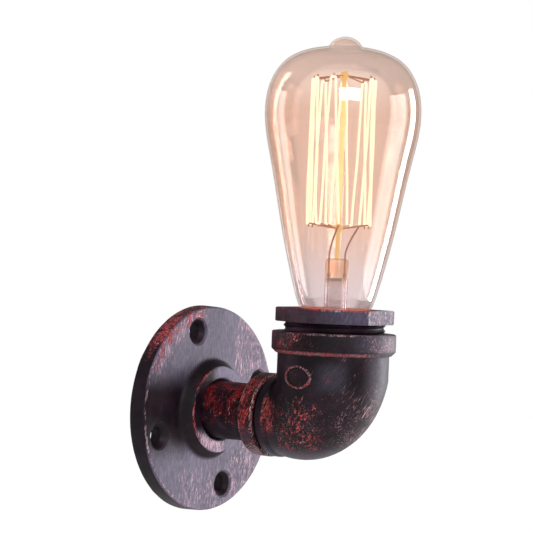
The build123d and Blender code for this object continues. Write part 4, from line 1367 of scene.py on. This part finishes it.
    def make_spider(self, name: str, counts: Iterable[float], at_top: bool) -> Piece:
        """Hooked wires from a bead out to the filament's bends."""
        way = 1 if at_top else -1
        ring_z = self.cage_top_z if at_top else self.cage_base_z
        bead_z = ring_z + way * self.bead_rise
        hook_r = self.cage_r - 0.55
        wires = []
        for count in counts:
            angle = self.lower_angle(count)
            wires.append(wire(name, [
                on_bulb(self.bead_r * 0.6, angle, bead_z),
                on_bulb(hook_r * 0.6, angle, bead_z - way * 0.9),
                on_bulb(hook_r - 0.5, angle, ring_z - way * 0.2),
                on_bulb(hook_r + 0.1, angle, ring_z + way * 0.2),
                on_bulb(hook_r, angle, ring_z + way * 1.4),
            ], self.support_d))
        return join(wires, name)

    def make_filament(self) -> Piece:
        """The whole filament: one wire up and down round the hooks, each run slightly bowed."""
        draw = random.Random(7)
        half_turn = math.degrees(self.hook_turn / 2 / self.cage_r)
        ease = 1.0  # length of each run's straight ends
        sway = 0.5
        stops: list[tuple[float, float]] = [(self.lower_angle(0), self.cage_base_z)]
        for count in range(self.hooks):
            top = self.lower_angle(count + 0.5)
            stops += [(top - half_turn, self.cage_top_z), (top + half_turn, self.cage_top_z)]
            if count < self.hooks - 1:
                low = self.lower_angle(count + 1)
                stops += [(low - half_turn, self.cage_base_z), (low + half_turn, self.cage_base_z)]
        stops.append((self.lower_angle(self.hooks), self.cage_base_z))
        route: list[Vector] = []
        for (angle, height), (next_angle, next_height) in zip(stops, stops[1:]):
            start = on_bulb(self.cage_r, angle, height)
            end = on_bulb(self.cage_r, next_angle, next_height)
            run = end - start
            route.append(start)
            if abs(next_height - height) < 1:
                continue
            route.append(start + run.normalized() * ease * MM)
            for share in (0.3, 0.55, 0.8):
                bow = Vector((draw.uniform(-sway, sway), draw.uniform(-sway, sway), 0)) * MM
                route.append(start + run * share + bow)
            route.append(end - run.normalized() * ease * MM)
        route.append(on_bulb(self.cage_r, *stops[-1]))
        return wire("filament_cage", route, self.filament_d)

    def make_lead_in(self, name: str, count: int, side: int) -> Piece:
        """Stiff wire from inside the press, past its weld knot, to an end of the filament."""
        across = side * (self.stem_r - 1.5)
        turn = math.radians(self.press_clock)
        foot = Vector((across * math.cos(turn), -REACH + across * math.sin(turn), 0))
        weld_z = self.press_z + 2.6
        end = on_bulb(self.cage_r, self.lower_angle(count), self.cage_base_z - 0.6)
        heights = (weld_z - 4, weld_z, self.stem_top_z, self.stem_top_z + 3)
        rise = [Vector((foot.x, foot.y, z)) * MM for z in heights]
        bent = (rise[-1] + end) / 2 + Vector((0, 0, 1.2)) * MM
        lead = wire(name, rise + [bent, end], self.lead_in_d)
        knot_r, knot_half = 0.75, 0.9
        knot = solid_turned("weld", [
            (POLE, -knot_half, 0), (knot_r, -0.6, 0.2), (knot_r, 0.6, 0.2), (POLE, knot_half, 0),
        ], own_ring, sides=16)
        place(knot, rise[1])
        return smooth(join([lead, knot], name), 60)

    def build(self) -> list[Piece]:
        """Make, dress and fasten every piece of the bulb that shows."""
        glass = self.make_glass()
        dress(glass, GlassFinish(
            "amber_envelope", (0.94, 0.892, 0.897), (0.962, 0.852, 0.795), 50, 86, glow_height=46.7).build())
        cap = self.make_cap()
        dress(cap, metal("cap_brass", (0.78, 0.60, 0.30), 0.25).build())
        stem = self.make_stem()
        dress(stem, GlassFinish(
            "stem_glass", (0.95, 0.93, 0.93), (0.96, 0.78, 0.60), 54, 61, film=0.10, edge_film=0.8,
            edge=(0.30, 0.16, 0.12)).build())
        rod = self.make_rod()
        # painted glow: the glass rod is no lamp, and its light stands for the filament's
        dress(rod, GlowFinish("rod_glow", (1.0, 0.90, 0.36), 1.25, self.cage_base_z, self.cage_top_z).build())
        filament = self.make_filament()
        dress(filament, GlowFinish(
            "filament_glow", (1.0, 0.94, 0.70), 1.7, self.cage_base_z - 12, self.cage_top_z + 12).build())
        hook_wire = PlainFinish("hook_wire", (0.50, 0.24, 0.10), metallic=0.6, roughness=0.45).build()
        top = self.make_spider("top_hooks", [count + 0.5 for count in range(self.hooks)], True)
        base = self.make_spider("lower_hooks", range(1, self.hooks), False)
        left = self.make_lead_in("lead_in_left", self.hooks, -1)
        right = self.make_lead_in("lead_in_right", 0, 1)
        for piece in (top, base, left, right):
            dress(piece, hook_wire)
        stands_for = {
            glass: "bulb_envelope", cap: "bulb_cap", stem: "glass_stem", rod: "centre_rod",
            filament: "filament", top: "top_supports", base: "bottom_supports",
            left: "lead_in_wire_left", right: "lead_in_wire_right",
        }
        for piece, node in stands_for.items():
            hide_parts(node)
            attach(piece, "bulb")
        return list(stands_for)


# ---- Pieces kept from the CAD
class KeptPieces:
    """The hidden working parts, whose CAD shapes are right and only need their finishes."""

    finishes = {
        "lampholder_body": PlainFinish("glazed_ceramic", (0.82, 0.79, 0.72), 0.93, 0.18, coat=0.6, grain=2.0),
        "screw_shell": metal("shell_brass", (0.78, 0.60, 0.30), 0.28),
        "centre_terminal": metal("terminal_brass", (0.74, 0.56, 0.27), 0.35),
        "shell_terminal": metal("terminal_brass_two", (0.74, 0.56, 0.27), 0.35),
        "centre_contact": metal("leaf_bronze", (0.70, 0.48, 0.24), 0.3),
        "terminal_screws": metal("screw_zinc", (0.60, 0.60, 0.58), 0.32),
        "earth_lug": metal("lug_tin", (0.66, 0.66, 0.64), 0.38),
        "earth_screw": metal("earth_screw_zinc", (0.60, 0.60, 0.58), 0.32),
        "line_lead": SleeveFinish("line_sleeve", (0.25, 0.12, 0.06)),
        "neutral_lead": SleeveFinish("neutral_sleeve", (0.08, 0.20, 0.50)),
        "earth_lead": SleeveFinish("earth_sleeve", (0.35, 0.50, 0.10)),
        "cap_cement": PlainFinish("cap_cement", (0.60, 0.55, 0.47), 0.8, 0.85, grain=0.5, grain_depth=0.08),
        "cap_insulator": PlainFinish("vitrite_button", (0.02, 0.02, 0.03), 0.6, 0.15, coat=0.5),
        "cap_contact": metal("solder_tip", (0.68, 0.68, 0.69), 0.32, shade=0.85),
    }

    def build(self) -> list[Piece]:
        """Dress each kept CAD node."""
        dressed = []
        for node, finish in self.finishes.items():
            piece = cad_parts[node]
            dress(piece, finish.build())
            dressed.append(piece)
        return dressed


# ---- The studio
def towards(azimuth: float, elevation: float) -> Vector:
    """Unit vector to an azimuth and elevation in degrees; azimuth 0 is straight out from the wall."""
    turn = math.radians(azimuth)
    lift = math.radians(elevation)
    return Vector((math.sin(turn) * math.cos(lift), -math.cos(turn) * math.cos(lift), math.sin(lift)))


def in_view(tree: bpy.types.NodeTree) -> Value:
    """1 for rays that the camera sends, straight or through glass."""
    rays = tree.nodes.new("ShaderNodeLightPath")
    return Value(tree, rays.outputs["Is Camera Ray"]) | Value(tree, rays.outputs["Is Transmission Ray"])


@dataclass(frozen=True)
class Softbox:
    """A rectangular lamp that faces a target, placed by angles about it."""

    name: str
    azimuth: float
    elevation: float
    distance: float
    size: tuple[float, float]
    power: float

    def build(self, target: Vector) -> None:
        """Make the lamp."""
        way = towards(self.azimuth, self.elevation)
        deselect()
        bpy.ops.object.light_add(type="AREA", location=target + way * self.distance)
        lamp = bpy.context.object
        lamp.name = self.name
        lamp.rotation_euler = way.to_track_quat("Z", "Y").to_euler()
        lamp.data.shape = "RECTANGLE"
        lamp.data.size, lamp.data.size_y = self.size
        lamp.data.energy = self.power


@dataclass
class Studio:
    """Camera at the photograph's place, softboxes, white world and a pale floor."""

    azimuth: float = -52.73
    elevation: float = 0.21
    roll: float = 2.31
    target: Vector = Vector((0.0, -0.03459, 0.06188))
    distance: float = 0.82362
    focal_px: float = 1958.22
    frame_px: float = 533.0
    sensor_mm: float = 36.0
    floor_z: float = -0.30
    floor_size: float = 6.0
    ambient: float = 0.55
    mirrored: float = 0.30

    def make_camera(self) -> None:
        """Camera fitted to the photograph."""
        back = towards(self.azimuth, self.elevation)
        right = (-back).cross(Vector((0, 0, 1))).normalized()
        up = right.cross(-back)
        roll = math.radians(self.roll)
        level_right = right * math.cos(roll) + up * math.sin(roll)
        level_up = up * math.cos(roll) - right * math.sin(roll)
        deselect()
        bpy.ops.object.camera_add(location=self.target + back * self.distance)
        camera = bpy.context.object
        camera.name = "photo_camera"
        matrix = camera.matrix_world.copy()
        for column, axis in enumerate((level_right, level_up, back)):
            for row in range(3):
                matrix[row][column] = axis[row]
        camera.matrix_world = matrix
        camera.data.sensor_width = self.sensor_mm
        camera.data.lens = self.focal_px * self.sensor_mm / self.frame_px
        camera.data.clip_start = 0.05
        camera.data.clip_end = 20.0
        bpy.context.scene.camera = camera

    def make_world(self) -> None:
        """World that is white to the eye, softer as light and dim in reflections."""
        world = bpy.data.worlds.new("studio_white")
        bpy.context.scene.world = world
        world.use_nodes = True
        tree = world.node_tree
        tree.nodes.clear()
        seen = in_view(tree)
        mirrored = Value(tree, tree.nodes.new("ShaderNodeLightPath").outputs["Is Glossy Ray"])
        strength = self.ambient + (1.0 - self.ambient) * seen - (self.ambient - self.mirrored) * mirrored
        sky = tree.nodes.new("ShaderNodeBackground")
        tree.links.new(strength.socket, sky.inputs["Strength"])
        sky.inputs["Color"].default_value = (1.0, 1.0, 1.0, 1.0)
        output = tree.nodes.new("ShaderNodeOutputWorld")
        tree.links.new(sky.outputs[0], output.inputs["Surface"])

    def make_floor(self) -> None:
        """Pale floor well below the light, white to the eye, that still takes shadows."""
        deselect()
        bpy.ops.mesh.primitive_plane_add(size=self.floor_size, location=(0, 0, self.floor_z))
        floor = bpy.context.object
        floor.name = "studio_floor"
        bake()
        paint = Paint("floor_white")
        matt = paint.principled(Base_Color=(0.9, 0.9, 0.9, 1.0), Roughness=0.9)
        white = paint.node("ShaderNodeEmission", inputs={"Color": (1, 1, 1, 1), "Strength": 1.03})
        dress(floor, paint.show(paint.blend(matt, white, in_view(paint.tree) * 0.96)))

    def build(self) -> None:
        """Set up camera, lamps, world and floor."""
        scene = bpy.context.scene
        scene.view_settings.view_transform = "Standard"
        self.make_camera()
        self.make_world()
        self.make_floor()
        lamps = [
            Softbox("key_softbox", self.azimuth + 8, 22, 1.1, (0.56, 0.30), 7.5),
            Softbox("right_strip", self.azimuth + 123, -5, 0.8, (0.10, 0.80), 6.0),
            Softbox("right_wide", self.azimuth + 88, -5, 0.9, (0.56, 0.86), 3.0),
            Softbox("left_strip", self.azimuth - 107, -5, 0.8, (0.24, 0.76), 1.0),
            Softbox("front_fill", self.azimuth - 30, -14, 1.3, (0.8, 0.5), 1.2),
        ]
        for lamp in lamps:
            lamp.build(self.target)


def main() -> None:
    """Build the light piece by piece and report each one."""
    logging.basicConfig(level=logging.INFO, format="%(name)s: %(message)s")
    Studio().build()
    for assembly in (WallSide(), TurningArm(), FilamentBulb(), KeptPieces()):
        for piece in assembly.build():
            log.info("%s: %s has %d faces", type(assembly).__name__, piece.name, len(piece.data.polygons))


if __name__ == "__main__":
    main()
